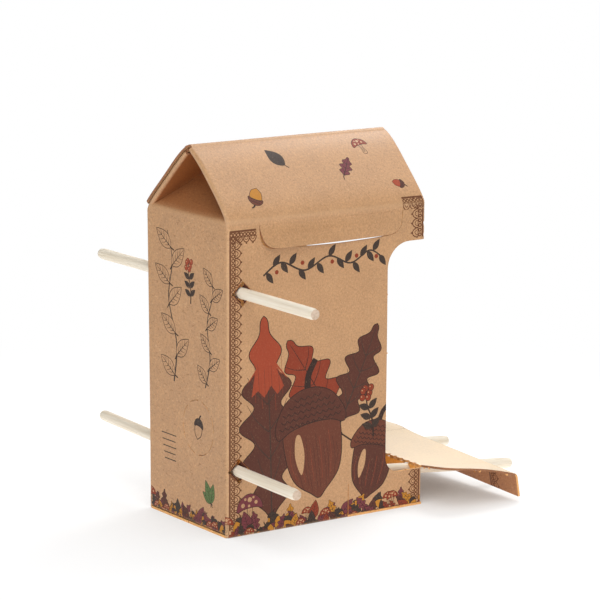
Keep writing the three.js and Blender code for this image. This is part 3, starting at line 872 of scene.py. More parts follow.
@dataclass(frozen=True)
class BoardLook:
    """One face of the board.

    Attributes:
        name: Name of the material.
        colour: Linear base colour.
        pale: Colour of its light fibres.
        dark: Colour of its dark fibres.
        fleck: How strongly the fibres show.
        roughness: Its mean roughness.
        bump: Height of its fibres in metres.
        printed: Whether it carries ink, worn folds and painted shade in its recesses.
        mottle: How far its cloudy patches lie from the mean.
        painted_emission: Painted light, an orange glow that stands in for light coming in from behind
            through the opening and bouncing inside the box.
    """

    name: str
    colour: Triple
    pale: Triple
    dark: Triple
    fleck: float = 0.5
    roughness: float = 0.8
    bump: float = 0.00006
    printed: bool = False
    mottle: float = 0.56
    painted_emission: float = 0.0

    def build(self, fibre: Tree) -> Material:
        """Makes the material.

        Args:
            fibre: The node group of board fibres.

        Returns:
            The material.
        """
        material, wire, shader = new_look(self.name, 0.5)
        marks = wire.group(fibre, wire.node("ShaderNodeTexCoord").outputs["Object"], Scale=1.0)
        pale, dark, cloud = (marks.outputs[key] for key in ("Pale", "Dark", "Cloud"))
        colour = wire.blend(wire.math("MULTIPLY", pale, self.fleck), (*self.colour, 1), (*self.pale, 1))
        colour = wire.blend(wire.math("MULTIPLY", dark, self.fleck), colour, (*self.dark, 1))
        shade = wire.math("MULTIPLY_ADD", cloud, self.mottle, 1 - self.mottle / 2)
        tint = wire.node("ShaderNodeCombineColor", {0: shade, 1: shade, 2: shade}).outputs[0]
        colour = wire.blend(1.0, colour, tint, "MULTIPLY")
        if self.printed:
            # Painted shade: the board turns a deep saturated brown where a piece marks it as shaded
            # (gables, gussets, lip), and wear is kept off there.
            back = wire.node("ShaderNodeAttribute", attribute_name="recess").outputs["Fac"]
            worn = wire.node("ShaderNodeAttribute", attribute_name="wear").outputs["Fac"]
            shade = wire.blend(back, (1, 1, 1, 1), (0.6, 0.34, 0.17, 1))
            colour = wire.blend(1.0, colour, shade, "MULTIPLY")
            patchy = wire.math("MULTIPLY", worn, wire.math("MULTIPLY_ADD", pale, 0.35, 0.4))
            patchy = wire.math("MULTIPLY", patchy, wire.math("SUBTRACT", 1.0, back))
            colour = wire.blend(patchy, colour, (*self.pale, 1))
            ink = wire.node("ShaderNodeAttribute", attribute_name="ink")
            thinned = wire.math("MULTIPLY_ADD", pale, -0.16, 0.98)
            cover = wire.math("MULTIPLY", ink.outputs["Alpha"], thinned)
            cover = wire.math("MULTIPLY", cover, wire.math("MULTIPLY_ADD", patchy, -0.7, 1.0))
            inked = wire.blend(1.0, ink.outputs["Color"], wire.blend(0.5, tint, (1, 1, 1, 1)), "MULTIPLY")
            colour = wire.blend(cover, colour, inked)
            wire.feeds(shader, {"Specular IOR Level": wire.math("MULTIPLY_ADD", cover, -0.3, 0.5)})
        # Painted light: the board glows orange as if lit from inside the box.
        if self.painted_emission > 0:
            wire.feeds(shader, {"Emission Color": (1.0, 0.3, 0.02, 1), "Emission Strength": self.painted_emission})
        rough = wire.math("MULTIPLY_ADD", cloud, 0.12, self.roughness - 0.06)
        relief = {"Distance": self.bump, "Strength": 0.7, "Height": marks.outputs["Height"]}
        bump = wire.node("ShaderNodeBump", relief)
        wire.feeds(shader, {"Base Color": colour, "Roughness": rough, "Normal": bump})
        return material


@dataclass(frozen=True)
class BirchLook:
    """Sanded birch, with its grain along one axis or its end grain."""

    name: str
    turn: Triple
    colour: Triple = (0.84, 0.765, 0.64)
    vein: Triple = (0.745, 0.645, 0.495)
    end_grain: bool = False

    def build(self, grain: Tree) -> Material:
        """Makes the material.

        Args:
            grain: The node group of birch grain.

        Returns:
            The material.
        """
        material, wire, shader = new_look(self.name, 0.35)
        where = wire.mapped(wire.node("ShaderNodeTexCoord").outputs["Object"], self.turn, (1, 1, 1))
        if self.end_grain:
            where = wire.mapped(where, (0, 0, 0), (60, 1, 1))
        marks = wire.group(grain, where, Streak=1.0)
        tone = marks.outputs["Tone"]
        colour = wire.blend(wire.ramp(tone, 0.35, 0.75), (*self.colour, 1), (*self.vein, 1))
        deeper = tuple(0.8 * channel for channel in self.vein)
        colour = wire.blend(wire.math("MULTIPLY", marks.outputs["Pores"], 0.3), colour, (*deeper, 1))
        relief = {"Distance": 0.00005, "Strength": 0.5, "Height": marks.outputs["Height"]}
        bump = wire.node("ShaderNodeBump", relief)
        rough = wire.math("MULTIPLY_ADD", tone, 0.2, 0.56)
        wire.feeds(shader, {"Base Color": colour, "Roughness": rough, "Normal": bump})
        return material


KRAFT = ((0.475, 0.262, 0.124), (0.58, 0.36, 0.2), (0.3, 0.14, 0.055))
BOARD_LOOKS = (
    BoardLook("kraft_printed", *KRAFT, 0.75, 0.55, printed=True),
    BoardLook("kraft_plain", *KRAFT, 0.75, 0.6),
    # Painted light: the inner faces take a vivid orange that stands in for light bouncing between kraft
    # faces inside the box; the bare inner board is paler, like the liner.
    BoardLook("inner_kraft", (0.84, 0.53, 0.22), (0.88, 0.62, 0.32), (0.68, 0.37, 0.13), 0.45, 0.7),
    # Painted light: the sill's inner face glows orange as if backlit through the opening.
    BoardLook("inner_backlit", (0.84, 0.5, 0.16), (0.88, 0.6, 0.28), (0.68, 0.34, 0.09), 0.45, 0.7,
              painted_emission=0.18),
    BoardLook("inner_liner", (0.78, 0.6, 0.39), (0.86, 0.72, 0.52), (0.62, 0.43, 0.24), 0.4, 0.5,
              mottle=0.22),
    BoardLook("cut_edge", (0.72, 0.38, 0.14), (0.8, 0.5, 0.24), (0.5, 0.22, 0.06), 0.6, 0.85, 0.0001),
    # Painted shade: a darker copy of the cut edge for edges that face down or lie in shade, on the wings,
    # roof and tongue.
    BoardLook("cut_edge_dark", (0.3, 0.13, 0.06), (0.42, 0.22, 0.1), (0.2, 0.08, 0.03), 0.6, 0.85, 0.0001),
)
BIRCH_LOOKS = (
    BirchLook("birch_perch", (0, 0, -math.pi / 2)),
    BirchLook("birch_support", (0, 0, 0)),
    BirchLook("birch_end", (0, 0, 0), (0.62, 0.48, 0.37), (0.5, 0.37, 0.27), True),
)


class Use(Enum):
    """The printed face, inner face and cut edge that a piece of board takes."""

    # Walls and sill take inner faces with painted bounce light or painted glow; roof, tongue and wings take
    # the painted-shade cut edge.
    WALL = ("kraft_printed", "inner_kraft", "cut_edge")
    SILL = ("kraft_printed", "inner_backlit", "cut_edge")
    ROOF = ("kraft_printed", "kraft_plain", "cut_edge_dark")
    TRAY = ("kraft_printed", "inner_liner", "cut_edge")
    WING = ("kraft_printed", "inner_liner", "cut_edge_dark")


@dataclass
class Finishes:
    """Every material of the feeder, by name."""

    looks: dict[str, Material]

    @classmethod
    def build(cls) -> "Finishes":
        """Makes the node groups and the materials that share them."""
        fibre, grain = build_fibre_group(), build_grain_group()
        looks = {look.name: look.build(fibre) for look in BOARD_LOOKS}
        looks.update({look.name: look.build(grain) for look in BIRCH_LOOKS})
        return cls(looks)

    def board(self, use: Use) -> list[Material]:
        """Gives the three materials of a piece of board."""
        return [self.looks[name] for name in use.value]


BELT_FLATS = (SIZES.bend_x, 2 * SIZES.bend_y, 2 * SIZES.bend_x, 2 * SIZES.bend_y)
BELT_RUNS = [run for flat in BELT_FLATS for run in ((flat, 0), (SIZES.corner_run, 90))]
BELT = BentLine((0.0, -SIZES.half_depth), 0.0, (*BELT_RUNS, (SIZES.bend_x, 0)))
BELT_LENGTH = 4 * (SIZES.bend_x + SIZES.bend_y + SIZES.corner_run)


def settled(points: Points) -> Points:
    """Gives the folded carton its slight unevenness.

    Args:
        points: Points of the ideal carton in millimetres.

    Returns:
        The moved points.
    """
    s = SIZES
    x, y, z = points.T
    out = points.copy()
    across = np.clip(x / s.half_width, -1, 1)
    deep = np.clip(y / s.half_depth, -1, 1)
    belly = np.sin(np.clip(z / s.shoulder, 0, 1) * math.pi)
    out[:, 1] += np.sign(y) * 0.45 * np.cos(across * math.pi / 2) * belly * np.abs(deep) ** 4
    out[:, 0] -= np.sign(x) * 0.3 * np.cos(deep * math.pi / 2) * belly * np.abs(across) ** 6
    lean = (0.5 + 2.6 * np.clip(z / s.shoulder, 0, 1.1) ** 1.4) * np.clip(0.5 - 0.5 * across, 0, 1)
    roof = s.ridge - s.shoulder
    out[:, 1] += lean * np.clip(deep, 0, 1) ** 2 * np.clip((s.ridge - z) / roof, 0, 1)
    eave = s.shoulder - 1.5
    rise = np.clip((z - eave) / roof, 0, 1)
    puff = 1 - (2 * rise - 1) ** 4
    under = np.clip(np.abs(y) / np.maximum(s.ridge + 1 - z, 3), 0, 1) ** 2
    front = 2.3 - 0.45 * across + 0.2 * np.sin(x / 19)
    back = 1.2 - 0.4 * across
    bow = puff * under * np.where(y < 0, front, back)
    out[:, 1] += np.sign(y) * bow * 0.707
    out[:, 2] += bow * 0.707
    out[:, 2] -= 0.25 * np.clip(0.1 - 1.1 * across, 0, 1) * np.clip((z - 188) / 12, 0, 1)
    return out


def belt_place(floor: float) -> Placer:
    """Places the carton's walls, whose lower edge curls inwards at a given height.

    Args:
        floor: Height of the underside of the curl.

    Returns:
        The function that places blank points.
    """
    radius = SIZES.bottom_curl

    def place(flat: Points) -> Points:
        """Bends the blank around the carton and curls its lower edge."""
        plan, heading = BELT.at(np.mod(flat[:, 0], BELT_LENGTH))
        turn = np.clip((floor + radius - flat[:, 1]) / radius, 0, math.pi / 2)
        height = np.where(turn > 0, floor + radius - radius * np.sin(turn), flat[:, 1])
        inward = radius * (1 - np.cos(turn))
        out = np.stack([np.sin(heading), -np.cos(heading)], axis=1)
        plan = plan - out * inward[:, None]
        return settled(np.column_stack([plan, height]))

    return place


def arc(centre: Pair, radius: float, start: float, end: float, steps: int = 9) -> Points:
    """Gives points on an arc between two angles in degrees."""
    turn = np.radians(np.linspace(start, end, steps))
    return np.stack([centre[0] + radius * np.cos(turn), centre[1] + radius * np.sin(turn)], axis=1)


def diamond(across: float, up: float, reach: float = 6.7) -> Points:
    """Gives the outline of a cross cut that has been pushed open."""
    return np.array([[across, up]]) + reach * np.array([[1, 0], [0, 1], [-1, 0], [0, -1]])


def notch_points(side: float, middle: float = 0.0) -> Points:
    """Gives the side opening's outline in a wide wall, from the sill to the top.

    Args:
        side: 1 where the opening is at the right of the blank wall, -1 where it is at the left.
        middle: The wall's middle along the belt.

    Returns:
        The points.
    """
    s = SIZES
    low_radius, high_radius = s.notch_bottom_radius, s.notch_top_radius
    low = arc((s.notch_left + low_radius, s.sill_top + low_radius), low_radius, 270, 180)
    high = arc((s.notch_left + high_radius, s.notch_top - high_radius), high_radius, 180, 90, 12)
    edge = s.side_start
    points = np.concatenate([[[edge, s.sill_top]], low, high, [[edge, s.notch_top]]])
    points[:, 0] = points[:, 0] * side + middle
    return points


@dataclass(frozen=True)
class Perch:
    """One stick across the carton, in millimetres and degrees."""

    node: str
    body: str
    height: float
    yaw: float
    shift: float
    pitch: float = 0.5
    from_centre: float = 54.6

    def crossing(self, y: float) -> Pair:
        """Gives X and height where its axis crosses a depth."""
        return (
            -self.from_centre - math.tan(math.radians(self.yaw)) * y,
            self.height + math.tan(math.radians(self.pitch)) * y,
        )


@dataclass(frozen=True)
class Support:
    """One stick under the platform, which goes right and down from its left end."""

    side: str
    y: float
    yaw: float = 0.0
    dip: float = 0.0
    left: float = -61.1
    height: float = 17.35
    hinge: float = 62.4
    droop: float = 5.62

    def at(self, x: float) -> Pair:
        """Gives Y and height of its axis at a place along X."""
        run = x - self.left
        y = self.y + math.tan(math.radians(self.yaw)) * run
        z = self.height - math.tan(math.radians(self.droop)) * (x - self.hinge)
        return y, z - math.tan(math.radians(self.dip)) * run


SUPPORTS = (Support("front", -25.0, 0.1, 0.02), Support("back", 29.0, 1.1, -0.24))
PERCHES = (
    Perch("perch_upper", "upper_perch", 128.4, 1.4, -1.8),
    Perch("perch_lower", "lower_perch", 35.4, -1.6, 5.8),
)


def tongue_line(grow: float = 0.0, sag: float = 0.0) -> Points:
    """Gives the die-cut tongue's open outline, from its left end at the crease to its right end.

    Args:
        grow: How far the line lies outside the tongue.
        sag: How much further its middle lies below.

    Returns:
        The points.
    """
    line = eased(
        [(-43.2, 162.4), (-43.0, 159.0), (-42.4, 155.6), (-40.9, 152.6), (-38.0, 150.6), (-34.0, 149.8),
         (-24, 149.7), (-8, 149.75), (8, 149.8), (22, 149.85), (34, 149.9), (40.6, 150.3),
         (44.4, 151.7), (46.5, 154.4), (47.3, 158.0), (47.7, 162.4)],
        4, False)
    ahead = np.gradient(line, axis=0)
    out = unit(np.stack([ahead[:, 1], -ahead[:, 0]], axis=1))
    moved = line + out * grow
    moved[:, 1] -= sag * np.clip(1 - ((moved[:, 0] - 8) / 30) ** 2, 0, 1) * (moved[:, 1] < 152)
    moved[0, 1] = moved[-1, 1] = SIZES.front_top
    return moved


def fold_wear(lines_u: Sequence[float], lines_v: Sequence[float], width: float = 0.9) -> Spread:
    """Makes a wear function that is strongest along straight folds.

    Args:
        lines_u: Folds across the blank.
        lines_v: Folds along the blank.
        width: Half width of the rubbed band.

    Returns:
        The function.
    """

    def wear(flat: Points) -> Points:
        """Gives the wear of each blank point."""
        amount = np.zeros(len(flat))
        for axis, lines in enumerate((lines_u, lines_v)):
            for line in lines:
                amount = np.maximum(amount, np.exp(-(((flat[:, axis] - line) / width) ** 2)))
        return amount

    return wear


@dataclass
class Artwork:
    """The carton's print, in blank millimetres: a belt of four walls, and the roof above the front."""

    pen: float = 0.3

    def front(self) -> Drawing:
        """Draws the front wall: lace along its edges, a garland, and large oak leaves with acorns."""
        art = Drawing()
        art.extend(lace([(-61.6, 4), (-61.6, 160.6)], side=-1))
        art.extend(lace([(-61.6, 160.9), (-45.4, 160.9)], side=-1))
        art.extend(lace([(61.4, 147), (61.4, 162.2)], side=1))
        art.extend(lace([(61.2, 3), (61.2, 20.0)], side=1))
        self.garland(art)
        self.centrepiece(art)
        art.extend(hedge(-62, 62, 11, 10.5))
        return art

    def garland(self, art: Drawing) -> None:
        """Adds a brushed garland of leaves under the tongue."""
        bends = [(-41, 136), (-30, 142), (-15, 136.5), (0, 142.5), (14, 137.5), (26, 143), (34, 139)]
        line = eased(bends, 8, False)
        art.add(stroke(line, 1.7, 0.6, 0.5), Ink.CHARCOAL)
        for i in range(15):
            foot = line[2 + int(i * (len(line) - 5) / 14)]
            side = 1 if i % 2 else -1
            t = np.linspace(0, 1, 15)
            blade = along_axis(1.75 * np.sin(math.pi * t**0.8), 7.4)
            art.extend(Drawing([Patch(blade, Ink.CHARCOAL)]), (foot[0], foot[1]), -36 if side > 0 else -144)
            if i % 3 == 1:
                art.add(disc((foot[0] + 2.2, foot[1] - 3.2 * side), 1.2, 12), Ink.RUST)

    def centrepiece(self, art: Drawing) -> None:
        """Adds the large oak leaves, the two acorns and the small pieces beside them."""
        big = oak_leaf(108, Ink.BARK, 5, 0.5, Ink.CHARCOAL, 0.165).placed((-35, 7), 3)
        art.extend(big)
        flushed = [(p[0], p[1]) for p in big.patches[2].loop if p[1] > 80]
        flushed += [(-28, 77), (-32, 73), (-36, 78), (-40, 72), (-44, 76), (-48, 73)]
        middle = np.mean(flushed, axis=0)
        flushed.sort(key=lambda p: math.atan2(p[1] - middle[1], p[0] - middle[0]))
        art.add(np.array(flushed), Ink.EMBER)
        for i in range(9):
            x = -46 + 2.1 * i
            foot = 70 + 6 * math.sin(1.9 * i)
            tip = foot + 17 + 4 * math.cos(2.3 * i)
            line = eased([(x + 0.6, foot), (x, foot + 9), (x - 0.5, tip)], 4, False)
            art.add(stroke(line, 0.8, 0.3, 0.2), Ink.BARK if i % 2 else Ink.RUST)
        art.extend(oak_leaf(60, Ink.RUST, 4, 0.45, Ink.LINE), (7, 50), 33)
        art.extend(oak_leaf(54, Ink.BARK, 4, 0.45, Ink.CHARCOAL, 0.24), (9, 54), -25)
        art.extend(acorn(62, Ink.CHESTNUT, Ink.BARK, 0.5, rich=True), (-5, 14), 8)
        art.extend(acorn(44, Ink.BARK, Ink.CHESTNUT, 0.45, rich=True), (25, 9), -12)
        art.extend(berry_sprig(27, Ink.RUST, 0.3), (30, 42), 12)
        art.extend(toadstool(17, Ink.BURGUNDY, 0.3), (-48, 5), 5)

    def roof(self) -> Drawing:
        """Draws the few small pieces scattered over the roof."""
        art = Drawing()
        art.extend(acorn(11.5, Ink.MUSTARD, Ink.CHESTNUT, self.pen), (-38, 183), 152)
        art.extend(beech_leaf(13, Ink.CHARCOAL, self.pen, 0.3), (-14, 196), 32)
        art.extend(oak_leaf(13.5, Ink.BURGUNDY, 3, self.pen), (19, 186), -36)
        art.extend(toadstool(10.5, Ink.RUST, self.pen), (40, 199), 12)
        art.extend(acorn(7.5, Ink.EMBER, Ink.BARK, 0.24), (47, 179), -110)
        art.extend(lace([(61.4, 162.6), (61.4, 168.4)], side=1))
        art.extend(lace([(61.4, 168.8), (48.0, 168.8)], side=1))
        return art

    def left(self) -> Drawing:
        """Draws the left wall: line drawings of twigs, a sprout and the row at the foot."""
        art = Drawing()
        art.extend(hazel_twig(80), (-113, 74), 4)
        art.extend(hazel_twig(62), (-83, 76), -5)
        art.extend(berry_sprig(22, Ink.EMBER, 0.22), (-97, 118), 6)
        art.extend(acorn(11, Ink.BARE, Ink.CHARCOAL, 0.5), (-90.4, 47.5), -8)
        for turn, size in ((58, 9.0), (24, 12.5), (-12, 11.0)):
            art.extend(beech_leaf(size, Ink.MOSS, 0.25, 0.22), (-77.5, 15.5), turn)
        for i in range(5):
            y = 44.5 - 3.4 * i
            dash = np.array([[-125 + 0.8 * i, y], [-118, y], [-111 - 0.7 * (i % 2), y]])
            art.add(stroke(dash, 0.55, 1, 1), Ink.CHARCOAL)
        art.extend(hedge(-134, -64, 29, 8.0))
        art.extend(hedge(-133, -65, 23, 10.0))
        return art

    def back(self) -> Drawing:
        """Draws the back wall, in belt millimetres."""
        middle = SIZES.back_middle
        art = Drawing()
        art.extend(lace([(60.6, 10), (60.6, 158.5)], side=1), (middle, 0))
        art.extend(acorn(52, Ink.CHESTNUT, Ink.BARK, 0.5, rich=True), (middle + 8, 20), -10)
        art.extend(oak_leaf(54, Ink.RUST, 4, 0.45), (middle + 16, 66), -42)
        art.extend(oak_leaf(48, Ink.BARK, 4, 0.45, Ink.CHARCOAL), (middle + 2, 70), 30)
        art.extend(berry_sprig(26, Ink.RUST), (middle + 38, 22), -8)
        art.extend(hedge(middle - 62, middle + 62, 37, 10.5))
        return art

    def right(self) -> Drawing:
        """Draws the strip under the side opening."""
        return hedge(64, 135, 51, 9.5)

    def lip(self) -> Drawing:
        """Draws the lace that the platform carries on its outer face, in platform millimetres."""
        art = Drawing()
        art.extend(lace([(-38.6, -1), (-38.6, 59)], side=1))
        art.extend(lace([(38.6, -1), (38.6, 59)], side=-1))
        return art


@dataclass
class CartonWalls:
    """The four walls with their openings, and the leaning gables."""

    finishes: Finishes
    artwork: Artwork

    def fine_lines(self, *centres: float) -> tuple[float, ...]:
        """Gives closely spaced lines over each corner's bend."""
        half = SIZES.corner_run / 2
        return tuple(float(c + half * k / 4) for c in centres for k in range(-4, 5))

    def corner(self, turn: int) -> float:
        """Gives the middle of a corner's bend: 1 and 2 on the right of the front, -1 and -2 on its left."""
        near = SIZES.bend_x + SIZES.corner_run / 2
        far = SIZES.side_end + SIZES.corner_run / 2
        return math.copysign(near if abs(turn) == 1 else far, turn)

    def front_wall(self) -> Piece:
        """Builds the front wall with its notch, tongue cut, slit and cross cuts."""
        s = SIZES
        edge = s.side_start
        cut = tongue_line(0.3, 0.9)[::-1]
        outline = np.concatenate([
            [[-edge, s.curl_end], [13.75, s.curl_end], [13.85, 18.0], [14.0, 18.7], [14.15, 18.0]],
            [[14.3, 1.5], [edge, 1.5]],
            notch_points(1),
            [[edge, s.front_top]],
            cut,
            [[-edge, s.front_top]],
        ])
        holes = [diamond(*perch.crossing(-s.half_depth)) for perch in PERCHES]
        corners = (self.corner(-1), self.corner(1))
        board = Board(outline, holes, self.artwork.front(), self.fine_lines(*corners), CURL_LINES)
        wear = fold_wear(corners, (0.2,), 0.8)
        piece = bend_board("front_wall", board, belt_place(0.0), self.finishes.board(Use.WALL), wear)
        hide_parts("front_panel")
        return piece

    def back_wall(self) -> Piece:
        """Builds the back wall with its notch and cross cuts."""
        s = SIZES
        middle = s.back_middle
        half = s.side_start
        top = s.shoulder - s.layer * math.sqrt(2) - s.shoulder_tangent - 0.5
        outline = np.concatenate([
            [[middle + half, top], [middle - half, top]],
            notch_points(-1, middle)[::-1],
            [[middle - half, s.curl_end], [middle + half, s.curl_end]],
        ])
        crossings = [perch.crossing(s.half_depth) for perch in PERCHES]
        holes = [diamond(middle - x, z) for x, z in crossings]
        corners = (self.corner(2), middle + s.bend_x + s.corner_run / 2)
        board = Board(outline, holes, self.artwork.back(), self.fine_lines(*corners), CURL_LINES)
        wear = fold_wear(corners, (0.2,), 0.8)
        piece = bend_board("back_wall", board, belt_place(0.0), self.finishes.board(Use.WALL), wear)
        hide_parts("back_panel")
        return piece

    def left_wall(self) -> Piece:
        """Builds the left wall with the short cuts around its knock-out disc."""
        s = SIZES
        low = s.layer + s.curl_end
        outline = self.strip(-s.side_end, -s.side_start, low, s.side_top)
        middle = (-(s.side_start + s.bend_y - 10), 53.5)
        holes = []
        for i in range(8):
            start = 45 * i
            outer = arc(middle, 14.7, start, start + 32.4, 10)
            inner = arc(middle, 14.42, start + 32.4, start, 10)
            holes.append(np.concatenate([outer, inner]))
        board = Board(outline, holes, self.artwork.left(), (), SIDE_CURL_LINES)
        wear = fold_wear((), (1.7,), 0.8)
        piece = bend_board("left_wall", board, belt_place(s.layer), self.finishes.board(Use.WALL), wear)
        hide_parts("left_panel")
        return piece

    def strip(self, left: float, right: float, low: float, high: float) -> Points:
        """Gives the outline of a plain strip of the belt."""
        return np.array([[left, low], [right, low], [right, high], [left, high]])

    def right_header(self) -> Piece:
        """Builds the strip of the right wall over the opening."""
        s = SIZES
        outline = self.strip(s.side_start, s.side_end, s.notch_top, s.side_top)
        looks = self.finishes.board(Use.WALL)
        piece = bend_board("right_header_strip", Board(outline), belt_place(0.0), looks)
        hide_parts("right_header")
        return piece

    def right_sill(self) -> Piece:
        """Builds the strip of the right wall under the opening, open at the top around each support."""
        s = SIZES
        low = s.layer + s.curl_end
        outline = self.strip(s.side_start, s.side_end, low, s.sill_top)
        crossings = [support.at(62.4) for support in SUPPORTS]
        holes = [diamond(s.side_start + s.bend_y + y, z, 4.9) for y, z in crossings]
        board = Board(outline, holes, self.artwork.right(), (), SIDE_CURL_LINES, 2.0)
        wear = fold_wear((), (1.7,), 0.8)
        looks = self.finishes.board(Use.SILL)
        piece = bend_board("right_sill_strip", board, belt_place(s.layer), looks, wear)
        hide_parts("right_sill")
        return piece

    def bottom_leaf(self, side: str) -> Piece:
        """Builds a bottom flap, whose cut edge shows under the side walls.

        Args:
            side: front or back.

        Returns:
            The piece.
        """
        half = SIZES.half_width - 0.08
        if side == "front":
            outline = np.array([[-half, 1.0], [13.7, 1.0], [13.7, 36.0], [-half, 36.0]])
        else:
            reach = SIZES.half_depth - 0.2
            arm = [[half, reach], [14.2, reach], [14.2, 0.4]]
            outline = np.array([[-half, -36.0], [half, -36.0], *arm, [-half, 0.4]])

        def place(flat: Points) -> Points:
            """Lays the flap on the ground with its printed face down."""
            return np.column_stack([flat[:, 0], -flat[:, 1], np.full(len(flat), 0.02)])

        board = Board(outline, step=6.0)
        piece = bend_board(f"bottom_leaf_{side}", board, place, self.finishes.board(Use.WALL))
        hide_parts(f"bottom_flap_{side}")
        return piece

    def gable(self, side: str) -> Piece:
        """Builds a gable that leans in from a side wall.

        Args:
            side: left or right.

        Returns:
            The piece.
        """
        s = SIZES
        mirror = 1.0 if side == "left" else -1.0
        tangent = s.gable_radius * math.tan(math.radians(22.5))
        top = s.side_top
        line = BentLine((-s.half_width, top), 90.0,
                        ((s.shoulder - tangent - top, 0), (s.gable_radius * math.pi / 4, -45), (60.0, 0)))

        def place(flat: Points) -> Points:
            """Leans the flat gable in from the side wall's top."""
            profile, _ = line.at(flat[:, 1] - top)
            points = np.column_stack([profile[:, 0], -flat[:, 0], profile[:, 1]])
            sag = 0.8 * np.sin(np.clip((flat[:, 1] - 166) / 44, 0, 1) * math.pi)
            points[:, 0] += sag * 0.7
            points[:, 2] -= sag * 0.7
            points[:, :2] *= mirror
            return settled(points)

        bend_end = top + line.runs[0][0] + line.runs[1][0]
        front, back = 33.26 - 1.17, 31.14 - 1.17
        outline = np.array([[-35.6, top], [35.6, top], [34.6, 164.6], [front, bend_end], [1.06, 210.3],
                            [-back, bend_end], [-34.0, 164.6]])
        if side == "right":
            outline[:, 0] *= -1
            outline = outline[::-1]
        board = Board(outline, v_lines=tuple(163.2 + 0.4 * k for k in range(10)))

        def recess(flat: Points) -> Points:
            """Gives the painted shade of each point of the gable, deeper towards the top under the roof."""
            deepest = 0.78 + np.clip((flat[:, 1] - 180) / 60, 0, 0.22)
            return np.clip((flat[:, 1] - 164.0) / 5.0, 0, deepest)

        wear = fold_wear((), (164.8,), 1.2)
        piece = bend_board(f"{side}_gable_leaf", board, place, self.finishes.board(Use.WALL), wear, recess)
        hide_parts(f"{side}_gable")
        return piece

    def build(self) -> list[Piece]:
        """Builds every piece and lets it ride on the carton."""
        pieces = [self.front_wall(), self.back_wall(), self.left_wall()]
        pieces += [self.right_header(), self.right_sill()]
        pieces += [self.bottom_leaf(side) for side in ("front", "back")]
        pieces += [self.gable(side) for side in ("left", "right")]
        for piece in pieces:
            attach(piece, "carton")
        return pieces


